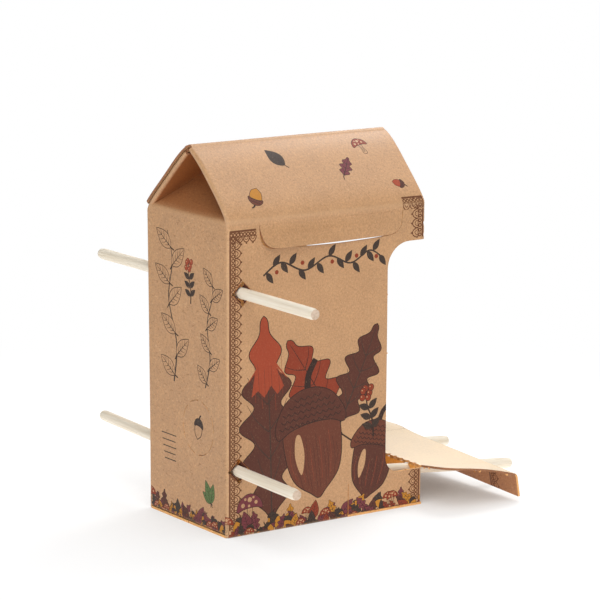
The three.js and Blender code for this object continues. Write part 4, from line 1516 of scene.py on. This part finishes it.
@dataclass
class Roof:
    """The front and back slopes with their folded gussets, and the outer flap."""

    finishes: Finishes
    artwork: Artwork
    base: float = SIZES.front_top

    def slope(self, side: str) -> Piece:
        """Builds one slope, whose ends turn over a rounded fold into the gussets.

        Args:
            side: front or back.

        Returns:
            The piece.
        """
        s = SIZES
        front = side == "front"
        drop = 0.0 if front else s.layer * math.sqrt(2)
        base = self.base - (0.0 if front else drop + 0.03)
        half_turn = math.radians(45)
        arc_run = s.shoulder_radius * half_turn
        rise = s.shoulder - drop - s.shoulder_tangent - base
        level = s.half_depth - s.shoulder_radius * (1 - math.cos(half_turn))
        slope_run = (level - s.ridge_radius * math.sin(half_turn)) * math.sqrt(2)
        ridge_run = s.ridge_radius * half_turn
        if front:
            runs = ((rise, 0), (arc_run, -45), (slope_run, 0), (ridge_run, -45))
            slope_used = 47.42
            top = base + rise + arc_run + slope_run + ridge_run - 0.03
        else:
            slope_used = 46.98
            back_run = (level - s.layer) * math.sqrt(2)
            runs = ((rise, 0), (arc_run, -45), (back_run, 0))
            top = base + rise + arc_run + back_run
        line = BentLine((-s.half_depth, base), 90.0, runs)
        slope_start = base + rise + arc_run

        def fold_shape(v: Points) -> tuple[Points, Points]:
            """Gives where the end fold starts at each height, and its radius."""
            share = smooth(np.clip((v - base) / 6.0, 0, 1))
            edge = s.bend_x + share * (s.half_width - s.bead - s.bend_x)
            return edge, s.corner + share * (s.bead - s.corner)

        def place(flat: Points) -> Points:
            """Bends the blank over the shoulder and ridge and turns its ends under."""
            profile, heading = line.at(flat[:, 1] - base)
            normal = np.stack([-np.sin(heading), np.cos(heading)], axis=1)
            edge, radius = fold_shape(flat[:, 1])
            across = np.abs(flat[:, 0])
            past = np.maximum(across - edge, 0)
            turn = np.minimum(past / radius, math.pi)
            beyond = np.maximum(past - math.pi * radius, 0)
            x = np.where(past > 0, edge + radius * np.sin(turn) - beyond, across) * np.sign(flat[:, 0])
            depth = radius * (1 - np.cos(turn)) + 0.02 * beyond
            points = np.column_stack([x, profile - normal * depth[:, None]])
            if not front:
                points[:, :2] *= -1
            return settled(points)

        v = np.concatenate([np.linspace(base, base + 6, 9), [base + 9]])
        edge, radius = fold_shape(v)
        limit = math.pi / 2 + math.pi / 2 * np.clip((v - base) / 5.0, 0, 1)
        right = [tuple(p) for p in np.stack([edge + radius * limit, v], axis=1)]
        fold_end = s.half_width - s.bead + math.pi * s.bead
        start = slope_start + 1.795 * math.sqrt(2)
        stop = slope_start + slope_used
        right.append((fold_end, start))
        right.append((fold_end + (stop - start) / math.sqrt(2), stop))
        right.append((s.half_width - s.bead, stop))
        right.append((s.half_width - s.bead, top))
        outline = np.array(right + [(-u, w) for u, w in reversed(right)])
        lines = [sign * (61.2 + 0.45 * k) for k in range(13) for sign in (-1, 1)]
        v_lines = [base + rise + arc_run * k / 6 for k in range(7)]
        v_lines += [base + rise + arc_run + slope_run + ridge_run * k / 5 for k in range(6)]
        drawing = self.artwork.roof() if front else Drawing()
        board = Board(outline, drawing=drawing, u_lines=lines, v_lines=v_lines)
        wear = fold_wear((-63.8, 63.8), (165.2, 217.2), 1.2)
        name = f"{side}_slope"

        def recess(flat: Points) -> Points:
            """Gives the painted shade of each point of a gusset under the roof."""
            under = np.clip((np.abs(flat[:, 0]) - s.half_width - 1.0) / 2.0, 0, 1)
            return under * np.clip(0.85 + (flat[:, 1] - slope_start) / 200, 0, 1)

        piece = bend_board(name, board, place, self.finishes.board(Use.ROOF), wear, recess)
        gussets = [f"left_gusset_{side}", f"right_gusset_{side}"]
        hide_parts(f"{side}_roof", *gussets)
        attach(piece, "carton")
        return piece

    def flap(self) -> Piece:
        """Builds the outer flap from the ridge down the back."""
        s = SIZES
        ridge_top = s.shoulder + s.half_depth - s.ridge_radius * (math.sqrt(2) - 1)
        ridge_run = s.ridge_radius * math.radians(45)
        slope_run = (s.half_depth + 0.3 - s.ridge_radius * math.sin(math.radians(45))) * math.sqrt(2)
        line = BentLine((0.0, ridge_top), 0.0, ((ridge_run, -45), (slope_run, 0)))
        low = 217.2
        end = low + ridge_run + slope_run
        half = s.half_width - 0.3

        def place(flat: Points) -> Points:
            """Bends the flap over the ridge and lets its lower edge stand off a little."""
            profile, _ = line.at(flat[:, 1] - low)
            share = np.clip((flat[:, 1] - low) / (end - low), 0, 1)
            points = np.column_stack([flat[:, 0], profile])
            lift = 0.35 * share**2 * (1 + 0.5 * np.sin(flat[:, 0] / 30 + 0.6))
            points[:, 1] += lift * 0.7
            points[:, 2] += lift * 0.7
            return settled(points)

        rounded = [arc((half - 2, end - 2), 2, 0, 90, 5), arc((-half + 2, end - 2), 2, 90, 180, 5)]
        near = s.half_width - s.bead
        start = [[-half, low + 2.4], [-near, low + 0.03], [near, low + 0.03], [half, low + 2.4]]
        outline = np.concatenate([start, *rounded])
        v_lines = [low + ridge_run * k / 5 for k in range(6)]
        art = Drawing()
        art.extend(oak_leaf(13, Ink.MUSTARD, 3), (-30, 250), 24)
        art.extend(acorn(11, Ink.CHESTNUT, Ink.CHARCOAL), (4, 240), -20)
        art.extend(beech_leaf(12, Ink.BURGUNDY), (34, 246), -42)
        board = Board(outline, drawing=art, v_lines=v_lines)
        wear = fold_wear((), (low,), 1.2)
        piece = bend_board("outer_flap", board, place, self.finishes.board(Use.ROOF), wear)
        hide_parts("roof_flap")
        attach(piece, "outer_roof_flap")
        return piece

    def build(self) -> list[Piece]:
        """Builds both slopes and the flap."""
        return [self.slope("front"), self.slope("back"), self.flap()]


@dataclass
class Tongue:
    """The die-cut tongue, whose left end stands out more than its right."""

    finishes: Finishes
    left_pop: float = 16.0
    right_pop: float = 1.5

    def build(self) -> Piece:
        """Builds the tongue."""
        crease = 162.38

        def place(flat: Points) -> Points:
            """Bends the tongue out from its crease, more at its left end."""
            down = crease - flat[:, 1]
            share = smooth(np.clip((flat[:, 0] + 44) / 90, 0, 1))
            pop = np.radians(self.left_pop + (self.right_pop - self.left_pop) * share)
            bent = pop * np.clip(down / 5.0, 0, 1)
            out = down * np.sin(bent)
            base = settled(np.column_stack([flat[:, 0], np.full(len(flat), -SIZES.half_depth), flat[:, 1]]))
            base[:, 1] -= out
            base[:, 2] += down * (1 - np.cos(bent))
            return base

        line = tongue_line(0.0)
        line[0, 1] = line[-1, 1] = crease
        board = Board(line, v_lines=tuple(crease - 0.7 * k for k in range(1, 8)))
        piece = bend_board("front_tongue_leaf", board, place, self.finishes.board(Use.ROOF))
        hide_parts("tongue")
        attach(piece, "front_tongue")
        return piece


@dataclass
class Platform:
    """The fold-down platform, its wings and its lip."""

    finishes: Finishes
    artwork: Artwork
    hinge: Triple = (62.4, 0.0, 21.4)
    droop: float = 4.3
    length: float = 45.6
    near_roll: float = 0.35
    far_roll: float = 2.6
    lean: float = 10.0
    lip_height: float = 11.7

    def place(self, wing_tilt: float = 0.0) -> Placer:
        """Gives the function that places blank points; X of the blank is the part's Y.

        Args:
            wing_tilt: Degrees that a wing stands up near the hinge.

        Returns:
            The function.
        """
        fold = 90 - self.lean - self.droop
        runs = ((self.length, 0), (0.5 * math.radians(fold), -fold), (20.0, 0))
        line = BentLine((0.0, -SIZES.board / 2), 0.0, runs)
        droop = math.radians(self.droop)

        def put(flat: Points) -> Points:
            """Droops and rolls the board from the hinge, and bends it at the lip."""
            profile, _ = line.at(flat[:, 1])
            y = flat[:, 0]
            share = np.clip(flat[:, 1] / self.length, 0, 1)
            roll = np.radians(self.near_roll + (self.far_roll - self.near_roll) * share)
            x = self.hinge[0] + profile[:, 0] * math.cos(droop) + profile[:, 1] * math.sin(droop)
            z = self.hinge[2] - profile[:, 0] * math.sin(droop) + profile[:, 1] * math.cos(droop)
            z += y * np.tan(roll)
            past = np.maximum(np.abs(y) - SIZES.half_depth, 0)
            z += past * math.tan(math.radians(wing_tilt)) * (1 - share**2.6) * np.where(y < 0, 1.0, 0.85)
            z -= 0.25 * np.sin(share * math.pi) * np.cos(np.clip(y / 62, -1, 1) * math.pi / 2)
            z += 1.0 * share * np.exp(-((y - 44) / 11) ** 2)
            return np.column_stack([x, y, z])

        return put

    def sheet(self) -> Piece:
        """Builds the middle of the platform, with torn perforations along its hinge."""
        half = SIZES.half_depth - 0.14
        near = -SIZES.board / 2
        points = [(-half, near)]
        count = int(2 * half / 5.8)
        for i in range(count):
            y = (i - (count - 1) / 2) * 5.8
            deep = 1.3 + 0.3 * math.sin(5.1 * i)
            points += [(y - 1.3, near), (y - 1.0, near + deep)]
            points += [(y + 0.8, near + deep + 0.2), (y + 1.4, near)]
        points += [(half, near), (half, self.length), (-half, self.length)]
        board = Board(np.array(points), drawing=self.artwork.lip())
        piece = bend_board("platform_leaf", board, self.place(), self.finishes.board(Use.TRAY))
        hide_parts("platform")
        return piece

    def wing(self, side: str) -> Piece:
        """Builds one wing, with the rounded corner that the opening's edge had."""
        inner, outer = SIZES.half_depth + 0.06, SIZES.half_depth + 24.7
        corner = arc((outer - 9, 9.3), 9, 270, 360, 8)
        outline = np.concatenate([[[inner, 0.3]], corner, [[outer, self.length], [inner, self.length]]])
        if side == "front":
            outline[:, 0] *= -1
            outline = outline[::-1]
        board = Board(outline, drawing=self.artwork.lip())
        piece = bend_board(f"wing_leaf_{side}", board, self.place(8.0), self.finishes.board(Use.WING))
        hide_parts(f"wing_{side}")
        return piece

    def lip(self) -> Piece:
        """Builds the lip and the fold along its top."""
        half = SIZES.half_depth + 24.7
        start = self.length + 0.03
        end = self.length + 0.66 + self.lip_height
        left = arc((-half + 1.6, start + 1.6), 1.6, 180, 270, 5)
        right = arc((half - 1.6, start + 1.6), 1.6, 270, 360, 5)
        outline = np.concatenate([left, right, [[half, end], [-half, end]]])
        holes = []
        for support in SUPPORTS:
            y, height = support.at(109.5)
            fold = float(self.place()(np.array([[y, self.length]]))[0, 2])
            down = (fold - height) / math.cos(math.radians(self.lean))
            holes.append(diamond(y, self.length + 0.4 + down, 4.6))
        v_lines = [self.length + 0.11 * k for k in range(1, 8)]
        board = Board(outline, holes, self.artwork.lip(), (), v_lines)
        wear = fold_wear((), (self.length + 0.3,), 0.7)

        def recess(flat: Points) -> Points:
            """Gives the same painted shade to the whole lip, which faces the ground."""
            return np.full(len(flat), 0.62)

        piece = bend_board("lip_leaf", board, self.place(), self.finishes.board(Use.TRAY), wear, recess)
        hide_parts("lip")
        return piece

    def build(self) -> list[Piece]:
        """Builds the pieces and lets each ride on its body."""
        pieces = [self.sheet(), self.wing("front"), self.wing("back")]
        for piece in pieces:
            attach(piece, "folding_platform")
        lip = self.lip()
        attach(lip, "folding_lip")
        return [*pieces, lip]


SHAPE_IN = ("Geometry", "Geometry", None)
SHAPE_OUT = (("Geometry", "Geometry"),)


def in_scene(name: str, data: bpy.types.ID) -> Piece:
    """Makes an object at the origin and adds it to the scene."""
    made = bpy.data.objects.new(name, data)
    bpy.context.scene.collection.objects.link(made)
    return made


def baked(carrier: Piece, tree: Tree, name: str, **values: object) -> Piece:
    """Runs a geometry tree on an object and keeps the result as a plain mesh.

    Args:
        carrier: Object whose mesh goes in; it is removed.
        tree: The tree.
        name: Name of the result.
        values: Values of the tree's named inputs.

    Returns:
        The new piece.
    """
    modifier = carrier.modifiers.new("make", "NODES")
    modifier.node_group = tree
    for item in tree.interface.items_tree:
        if item.in_out == "INPUT" and item.name in values:
            modifier[item.identifier] = values[item.name]
    graph = bpy.context.evaluated_depsgraph_get()
    mesh = bpy.data.meshes.new_from_object(carrier.evaluated_get(graph))
    mesh.name = name
    carrier.modifiers.remove(modifier)
    bpy.data.objects.remove(carrier)
    piece = in_scene(name, mesh)
    log.info("%s: %d faces", name, len(mesh.polygons))
    return piece


@dataclass
class Sticks:
    """The two perches and the two supports."""

    finishes: Finishes
    radius: float = 3.0
    length: float = 196.0
    chamfer: float = 0.35

    def tree(self) -> Tree:
        """Makes the tree that sweeps a round section along a nearly straight line."""
        keys = ("Length", "Radius", "Chamfer", "Bow", "Seed")
        sizes = [(key, "Float", default) for key, default in zip(keys, (0.2, 0.003, 0.0004, 0.0003, 0.0))]
        wire, source, end = new_tree(
            "Geometry", "round_stick", (SHAPE_IN, *sizes, ("Finish", "Material", None)), SHAPE_OUT)
        length, radius, chamfer, bow, seed = (source.outputs[key] for key in keys)
        rings = 100
        tip = wire.node("ShaderNodeCombineXYZ", {"X": length})
        line = wire.node("GeometryNodeCurvePrimitiveLine", {"End": tip})
        fine = wire.node("GeometryNodeResampleCurve", {"Curve": line, "Count": rings})
        share = wire.node("GeometryNodeSplineParameter").outputs["Factor"]
        rise = wire.math("MULTIPLY", wire.math("SINE", wire.math("MULTIPLY", share, math.pi)), bow)
        first = 1 / (rings - 1)
        inner = wire.math("DIVIDE", wire.math("SUBTRACT", share, first), 1 - 2 * first)
        run = wire.math("MULTIPLY_ADD", inner, wire.math("MULTIPLY_ADD", chamfer, -2.0, length), chamfer)
        run = wire.math("MINIMUM", wire.math("MAXIMUM", run, 0.0), length)
        spot = wire.node("ShaderNodeCombineXYZ", {"X": run, "Z": rise})
        bent = wire.node("GeometryNodeSetPosition", {"Geometry": fine, "Position": spot})
        near = wire.math("MINIMUM", run, wire.math("SUBTRACT", length, run))
        short = wire.math("MAXIMUM", wire.math("SUBTRACT", chamfer, near), 0.0)
        spread = {"Scale": 14.0, "W": wire.math("ADD", share, seed)}
        wobble = wire.node("ShaderNodeTexNoise", spread, noise_dimensions="1D").outputs["Fac"]
        uneven = wire.math("MULTIPLY", wire.math("SUBTRACT", wobble, 1.0), 0.0001)
        size = wire.math("ADD", wire.math("SUBTRACT", radius, short), uneven)
        ring = wire.node("GeometryNodeCurvePrimitiveCircle", {"Resolution": 40, "Radius": 1.0})
        sized = wire.node("GeometryNodeSetCurveRadius", {"Curve": bent, "Radius": size})
        swept = {"Curve": sized, "Profile Curve": ring, "Fill Caps": True}
        sweep = wire.node("GeometryNodeCurveToMesh", swept)
        if "Scale" in sweep.inputs:
            wire.feeds(sweep, {"Scale": size})
        whole = wire.node("GeometryNodeRealizeInstances", {0: sweep})
        paint = {0: whole, "Material": source.outputs["Finish"]}
        wire.feeds(end, {0: wire.node("GeometryNodeSetMaterial", paint)})
        return wire.tree

    def make(self, tree: Tree, name: str, turn: Matrix, look: str, seed: float, bow: float) -> Piece:
        """Makes one stick and moves its points into place.

        Args:
            tree: The sweeping tree.
            name: Name of the piece.
            turn: From the stick's own frame, along X, to the part's frame, in metres.
            look: Name of the side grain's material.
            seed: Fixed seed of its unevenness.
            bow: Rise of its middle in metres.

        Returns:
            The piece.
        """
        carrier = in_scene(f"{name}_line", bpy.data.meshes.new(f"{name}_line"))
        finish = self.finishes.looks[look]
        piece = baked(carrier, tree, name, Length=self.length * MM, Radius=self.radius * MM,
                      Chamfer=self.chamfer * MM, Bow=bow, Seed=seed, Finish=finish)
        mesh = piece.data
        mesh.materials.clear()
        mesh.materials.append(finish)
        mesh.materials.append(self.finishes.looks["birch_end"])
        for face in mesh.polygons:
            face.use_smooth = abs(face.normal.x) < 0.3
            face.material_index = 0 if abs(face.normal.x) < 0.9 else 1
        mesh.transform(turn)
        mesh.update()
        return piece

    def build(self) -> list[Piece]:
        """Makes the four sticks where the solids are."""
        tree = self.tree()
        pieces = []
        for i, perch in enumerate(PERCHES):
            start = shifted(0, perch.shift - self.length / 2, 0) @ turned(90, "Z")
            lie = turned(perch.pitch, "X") @ turned(perch.yaw, "Z")
            turn = shifted(-perch.from_centre, 0, perch.height) @ lie @ start
            name, bow = f"birch_{perch.node}", 0.0002 - 0.0004 * i
            piece = self.make(tree, name, turn, "birch_perch", 3.1 * i, bow)
            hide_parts(perch.node)
            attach(piece, perch.body)
            pieces.append(piece)
        for i, support in enumerate(SUPPORTS):
            y, z = support.at(support.left)
            lie = turned(support.yaw, "Z") @ turned(support.droop + support.dip, "Y")
            turn = shifted(support.left, y, z) @ lie
            name = f"birch_support_{support.side}"
            piece = self.make(tree, name, turn, "birch_support", 5.0 + 2.7 * i, 0.0)
            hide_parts(f"support_{support.side}")
            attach(piece, f"{support.side}_support")
            pieces.append(piece)
        return pieces


@dataclass
class Petals:
    """The pushed-in points of the cross cuts around the perches."""

    finishes: Finishes
    reach: float = 6.4
    count: int = 4

    def tree(self) -> Tree:
        """Makes the tree that turns one petal into a star of them."""
        wire, source, end = new_tree(
            "Geometry", "petal_star", (SHAPE_IN, ("Count", "Int", 4), ("Start", "Float", 0.0)), SHAPE_OUT)
        shape, count, start = (source.outputs[key] for key in ("Geometry", "Count", "Start"))
        dots = wire.node("GeometryNodePoints", {"Count": count})
        step = wire.math("DIVIDE", 2 * math.pi, count)
        spin = wire.math("MULTIPLY_ADD", wire.node("GeometryNodeInputIndex"), step, start)
        turn = wire.node("ShaderNodeCombineXYZ", {"Z": spin})
        spots = {"Points": dots, "Instance": shape, "Rotation": turn}
        star = wire.node("GeometryNodeInstanceOnPoints", spots)
        wire.feeds(end, {0: wire.node("GeometryNodeRealizeInstances", {0: star})})
        return wire.tree

    def petal(self, name: str, printed: bool) -> Piece:
        """Makes one petal that bends away from its root, with its outer face up.

        Args:
            name: Name of the piece.
            printed: Whether the print covers it.

        Returns:
            The piece.
        """
        height = self.reach / math.sqrt(2)
        half = self.reach / math.sqrt(2) - 1.5
        bend = math.radians(84)

        def place(flat: Points) -> Points:
            """Bends the petal down behind its root."""
            line = BentLine((-height + 0.1, 0.0), 0.0, ((0.1, 0), (1.3, -math.degrees(bend)), (5.0, 0)))
            profile, _ = line.at(flat[:, 1])
            return np.column_stack([flat[:, 0], profile[:, 0], profile[:, 1]])

        outline = np.array([[-half, 0.0], [half, 0.0], [0.5, height - 0.2], [-0.5, height - 0.2]])
        art = Drawing()
        if printed:
            art.add(np.array([[-5.0, -1.0], [5.0, -1.0], [5.0, 8.0], [-5.0, 8.0]]), Ink.BARK)
        board = Board(outline, drawing=art, step=0.8, thickness=0.9)
        return bend_board(name, board, place, self.finishes.board(Use.WALL))

    def build(self) -> list[Piece]:
        """Makes the star around each hole."""
        tree = self.tree()
        pieces = []
        for perch in PERCHES:
            for side, y in (("front", -SIZES.half_depth), ("back", SIZES.half_depth - SIZES.board)):
                x, z = perch.crossing(math.copysign(SIZES.half_depth, y))
                name = f"petals_{perch.node}_{side}"
                petal = self.petal(f"{name}_one", side == "front")
                piece = baked(petal, tree, name, Count=self.count, Start=math.radians(45))
                x, y, z = settled(np.array([[x, y, z]]))[0]
                piece.data.transform(shifted(x, y, z) @ turned(90, "X"))
                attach(piece, "carton")
                pieces.append(piece)
        return pieces


@dataclass
class Nibs:
    """The small torn bits of board left where perforations were pulled apart."""

    finishes: Finishes

    def tree(self) -> Tree:
        """Makes the tree that puts a turned and scaled flake on each point."""
        wire, source, end = new_tree(
            "Geometry", "torn_nibs",
            (SHAPE_IN, ("Size", "Float", 0.0007), ("Seed", "Int", 3), ("Finish", "Material", None)),
            SHAPE_OUT)
        size, seed = source.outputs["Size"], source.outputs["Seed"]
        dots = wire.node("GeometryNodeMeshToPoints", {"Mesh": source.outputs["Geometry"]})
        flake = wire.node("GeometryNodeMeshIcoSphere", {"Radius": 1.0, "Subdivisions": 2})
        angles = {"Max": (0.9, 0.9, 6.28), "Seed": seed}
        turn = wire.node("FunctionNodeRandomValue", angles, data_type="FLOAT_VECTOR")
        shares = {"Min": (0.5, 0.4, 0.25), "Max": (1.3, 0.9, 0.5), "Seed": seed}
        share = wire.node("FunctionNodeRandomValue", shares, data_type="FLOAT_VECTOR")
        scale = wire.node("ShaderNodeVectorMath", {0: share, "Scale": size}, operation="SCALE")
        spots = {"Points": dots, "Instance": flake, "Rotation": turn, "Scale": scale}
        placed = wire.node("GeometryNodeInstanceOnPoints", spots)
        whole = wire.node("GeometryNodeRealizeInstances", {0: placed})
        where = wire.node("GeometryNodeInputPosition")
        rough = wire.node("ShaderNodeTexNoise", {"Scale": 2600.0, "Vector": where})
        middle = {0: rough.outputs["Color"], 1: (0.5, 0.5, 0.5)}
        centred = wire.node("ShaderNodeVectorMath", middle, operation="SUBTRACT")
        offset = {0: centred, "Scale": wire.math("MULTIPLY", size, 0.9)}
        shift = wire.node("ShaderNodeVectorMath", offset, operation="SCALE")
        torn = wire.node("GeometryNodeSetPosition", {"Geometry": whole, "Offset": shift})
        paint = {0: torn, "Material": source.outputs["Finish"]}
        wire.feeds(end, {0: wire.node("GeometryNodeSetMaterial", paint)})
        return wire.tree

    def group(self, tree: Tree, name: str, body: str, points: Points, finish: Material) -> Piece:
        """Makes one piece from a set of torn spots.

        Args:
            tree: The flake tree.
            name: Name of the piece.
            body: Body it rides on.
            points: The spots in part millimetres.
            finish: Material of the torn board.

        Returns:
            The piece.
        """
        mesh = bpy.data.meshes.new(f"{name}_spots")
        mesh.from_pydata((points * MM).tolist(), [], [])
        carrier = in_scene(f"{name}_spots", mesh)
        piece = baked(carrier, tree, name, Size=0.00085, Seed=len(points), Finish=finish)
        for face in piece.data.polygons:
            face.use_smooth = True
        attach(piece, body)
        return piece

    def build(self, platform: Platform) -> list[Piece]:
        """Makes the bits along the sill, the notch and the platform's far fold.

        Args:
            platform: Gives the places along the fold.

        Returns:
            The pieces.
        """
        tree = self.tree()
        s = SIZES
        sill = [(s.half_width - 0.7, y, s.sill_top + 0.1) for y in np.arange(-35.7, 36, 4.2)]
        front = [(s.notch_left + 0.1, -s.half_depth + 0.5, z) for z in (52.0, 86.0, 118.0)]
        front.append((52.5, -s.half_depth + 0.5, s.sill_top + 0.05))
        front.append((59.5, -s.half_depth + 0.6, s.sill_top + 0.2))
        carton = settled(np.array(sill + front))
        blank = [(y, platform.length - 0.1) for y in (-55.0, -46.5, -37.4, -12.0, 14.0, 28.0, 37.4, 52.0)]
        blank += [(-44.0, 0.5), (-40.0, 0.5), (41.0, 0.5), (-61.9, 21.3), (-61.9, 39.8), (61.9, 17.0)]
        fold = platform.place(8.0)(np.array(blank))
        fold[:, 2] -= 0.1
        edge = self.finishes.looks["cut_edge"]
        return [
            self.group(tree, "torn_nibs_carton", "carton", carton, edge),
            self.group(tree, "torn_nibs_platform", "folding_platform", fold, edge),
        ]


@dataclass
class Studio:
    """The pale floor, soft lights and the camera."""

    target: Triple = (0.0, 0.0, 82.0)
    yaw: float = -34.932
    pitch: float = 11.075
    roll: float = 0.382
    distance: float = 1538.13
    shift_right: float = 6.76
    shift_up: float = 30.43
    focal_pixels: float = 2881.26

    def camera(self) -> None:
        """Makes the camera at the photograph's viewing angle."""
        a, e, r = (math.radians(q) for q in (self.yaw, self.pitch, self.roll))
        back = Vector((math.sin(a) * math.cos(e), -math.cos(a) * math.cos(e), math.sin(e)))
        right = (-back).cross(Vector((0, 0, 1))).normalized()
        up = right.cross(-back)
        place = Vector(self.target) + back * self.distance + right * self.shift_right + up * self.shift_up
        turned_right = right * math.cos(r) + up * math.sin(r)
        turned_up = up * math.cos(r) - right * math.sin(r)
        data = bpy.data.cameras.new("camera")
        data.sensor_width = SENSOR_MM
        data.lens = self.focal_pixels / PHOTO_PIXELS * SENSOR_MM
        data.clip_start = 0.05
        camera = in_scene("camera", data)
        matrix = Matrix((turned_right, turned_up, back)).transposed().to_4x4()
        matrix.translation = place * MM
        camera.matrix_world = matrix
        bpy.context.scene.camera = camera

    def floor(self) -> None:
        """Makes the floor, which looks nearly white and keeps the object's shadow, with a painted contact
        shadow near the carton.
        """
        size = 6.0
        mesh = bpy.data.meshes.new("floor")
        corners = [(-size, -size, 0), (size, -size, 0), (size, size, 0), (-size, size, 0)]
        mesh.from_pydata(corners, [], [(0, 1, 2, 3)])
        material = bpy.data.materials.new("studio_floor")
        material.use_nodes = True
        material.node_tree.nodes.clear()
        wire = Wiring(material.node_tree)
        # Other rays see a diffuse floor that also glows, lighting the carton from below.
        plain = wire.node("ShaderNodeBsdfDiffuse", {"Color": (0.85, 0.85, 0.85, 1)})
        lift = wire.node("ShaderNodeEmission", {"Strength": 0.55})
        matt = wire.node("ShaderNodeAddShader", {0: plain, 1: lift})
        # Near the carton the camera sees a weak diffuse that keeps the lamps' shadows, plus an emission
        # that dims and warms with ambient occlusion: a painted contact shadow.
        soft = wire.node("ShaderNodeBsdfDiffuse", {"Color": (0.3, 0.3, 0.3, 1)})
        open_sky = wire.node("ShaderNodeAmbientOcclusion", {"Distance": 0.13}, samples=16)
        lit = wire.math("POWER", open_sky.outputs["AO"], 0.36)
        tint = wire.blend(lit, (0.9, 0.8, 0.7, 1), (1, 1, 1, 1))
        painted_emission = wire.node("ShaderNodeEmission", {"Color": tint, "Strength": wire.math("MULTIPLY", lit, 0.8)})
        near = wire.node("ShaderNodeAddShader", {0: soft, 1: painted_emission})
        where = wire.node("ShaderNodeTexCoord").outputs["Object"]
        far = wire.node("ShaderNodeVectorMath", {0: where}, operation="LENGTH")
        fade = wire.ramp(far.outputs["Value"], 0.16, 0.46)
        seen = wire.node("ShaderNodeMixShader", {0: fade, 1: near, 2: wire.node("ShaderNodeEmission")})
        direct = wire.node("ShaderNodeLightPath").outputs["Is Camera Ray"]
        mix = wire.node("ShaderNodeMixShader", {0: direct, 1: matt, 2: seen})
        wire.node("ShaderNodeOutputMaterial", {"Surface": mix})
        mesh.materials.append(material)
        in_scene("floor", mesh)

    def lamp(self, name: str, at: Triple, size: float, watts: float) -> None:
        """Makes a large soft lamp that faces the carton."""
        data = bpy.data.lights.new(name, "AREA")
        data.shape = "DISK"
        data.size = size
        data.energy = watts
        lamp = in_scene(name, data)
        lamp.location = at
        lamp.rotation_euler = (Vector((0.02, 0, 0.1)) - Vector(at)).to_track_quat("-Z", "Y").to_euler()
        lamp.visible_camera = False

    def world(self) -> None:
        """Makes a white surround that also fills the shadows."""
        world = bpy.data.worlds.new("studio")
        bpy.context.scene.world = world
        world.use_nodes = True
        wire = Wiring(world.node_tree)
        direct = wire.node("ShaderNodeLightPath").outputs["Is Camera Ray"]
        strength = wire.math("MULTIPLY_ADD", direct, 0.93, 0.07)
        wire.feeds(world.node_tree.nodes["Background"], {"Color": (1, 1, 1, 1), "Strength": strength})

    def build(self) -> None:
        """Makes everything around the object."""
        self.camera()
        self.floor()
        self.lamp("key", (-0.48, -0.65, 1.38), 1.1, 12.9)
        self.lamp("front", (-0.16, -1.38, 0.5), 1.3, 5.6)
        self.lamp("top", (0.34, 0.12, 0.58), 0.3, 2.55)
        self.lamp("left", (-1.3, -0.3, 0.3), 0.9, 4.0)
        self.lamp("rear", (0.9, 1.2, 0.5), 0.9, 5.0)
        self.world()
        bpy.context.scene.view_settings.view_transform = "Standard"


def dress_nodes(finishes: Finishes) -> None:
    """Gives the solids that stay in view their board materials."""
    for name in ("dust_flap_left", "dust_flap_right", "glue_flap"):
        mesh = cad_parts[name].data
        mesh.materials.clear()
        mesh.materials.append(finishes.looks["kraft_plain"])


def main() -> None:
    """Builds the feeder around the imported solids."""
    Studio().build()
    finishes = Finishes.build()
    artwork = Artwork()
    CartonWalls(finishes, artwork).build()
    Roof(finishes, artwork).build()
    Tongue(finishes).build()
    platform = Platform(finishes, artwork)
    platform.build()
    Nibs(finishes).build(platform)
    Petals(finishes).build()
    Sticks(finishes).build()
    dress_nodes(finishes)
    bpy.context.view_layer.update()


if __name__ == "__main__":
    main()
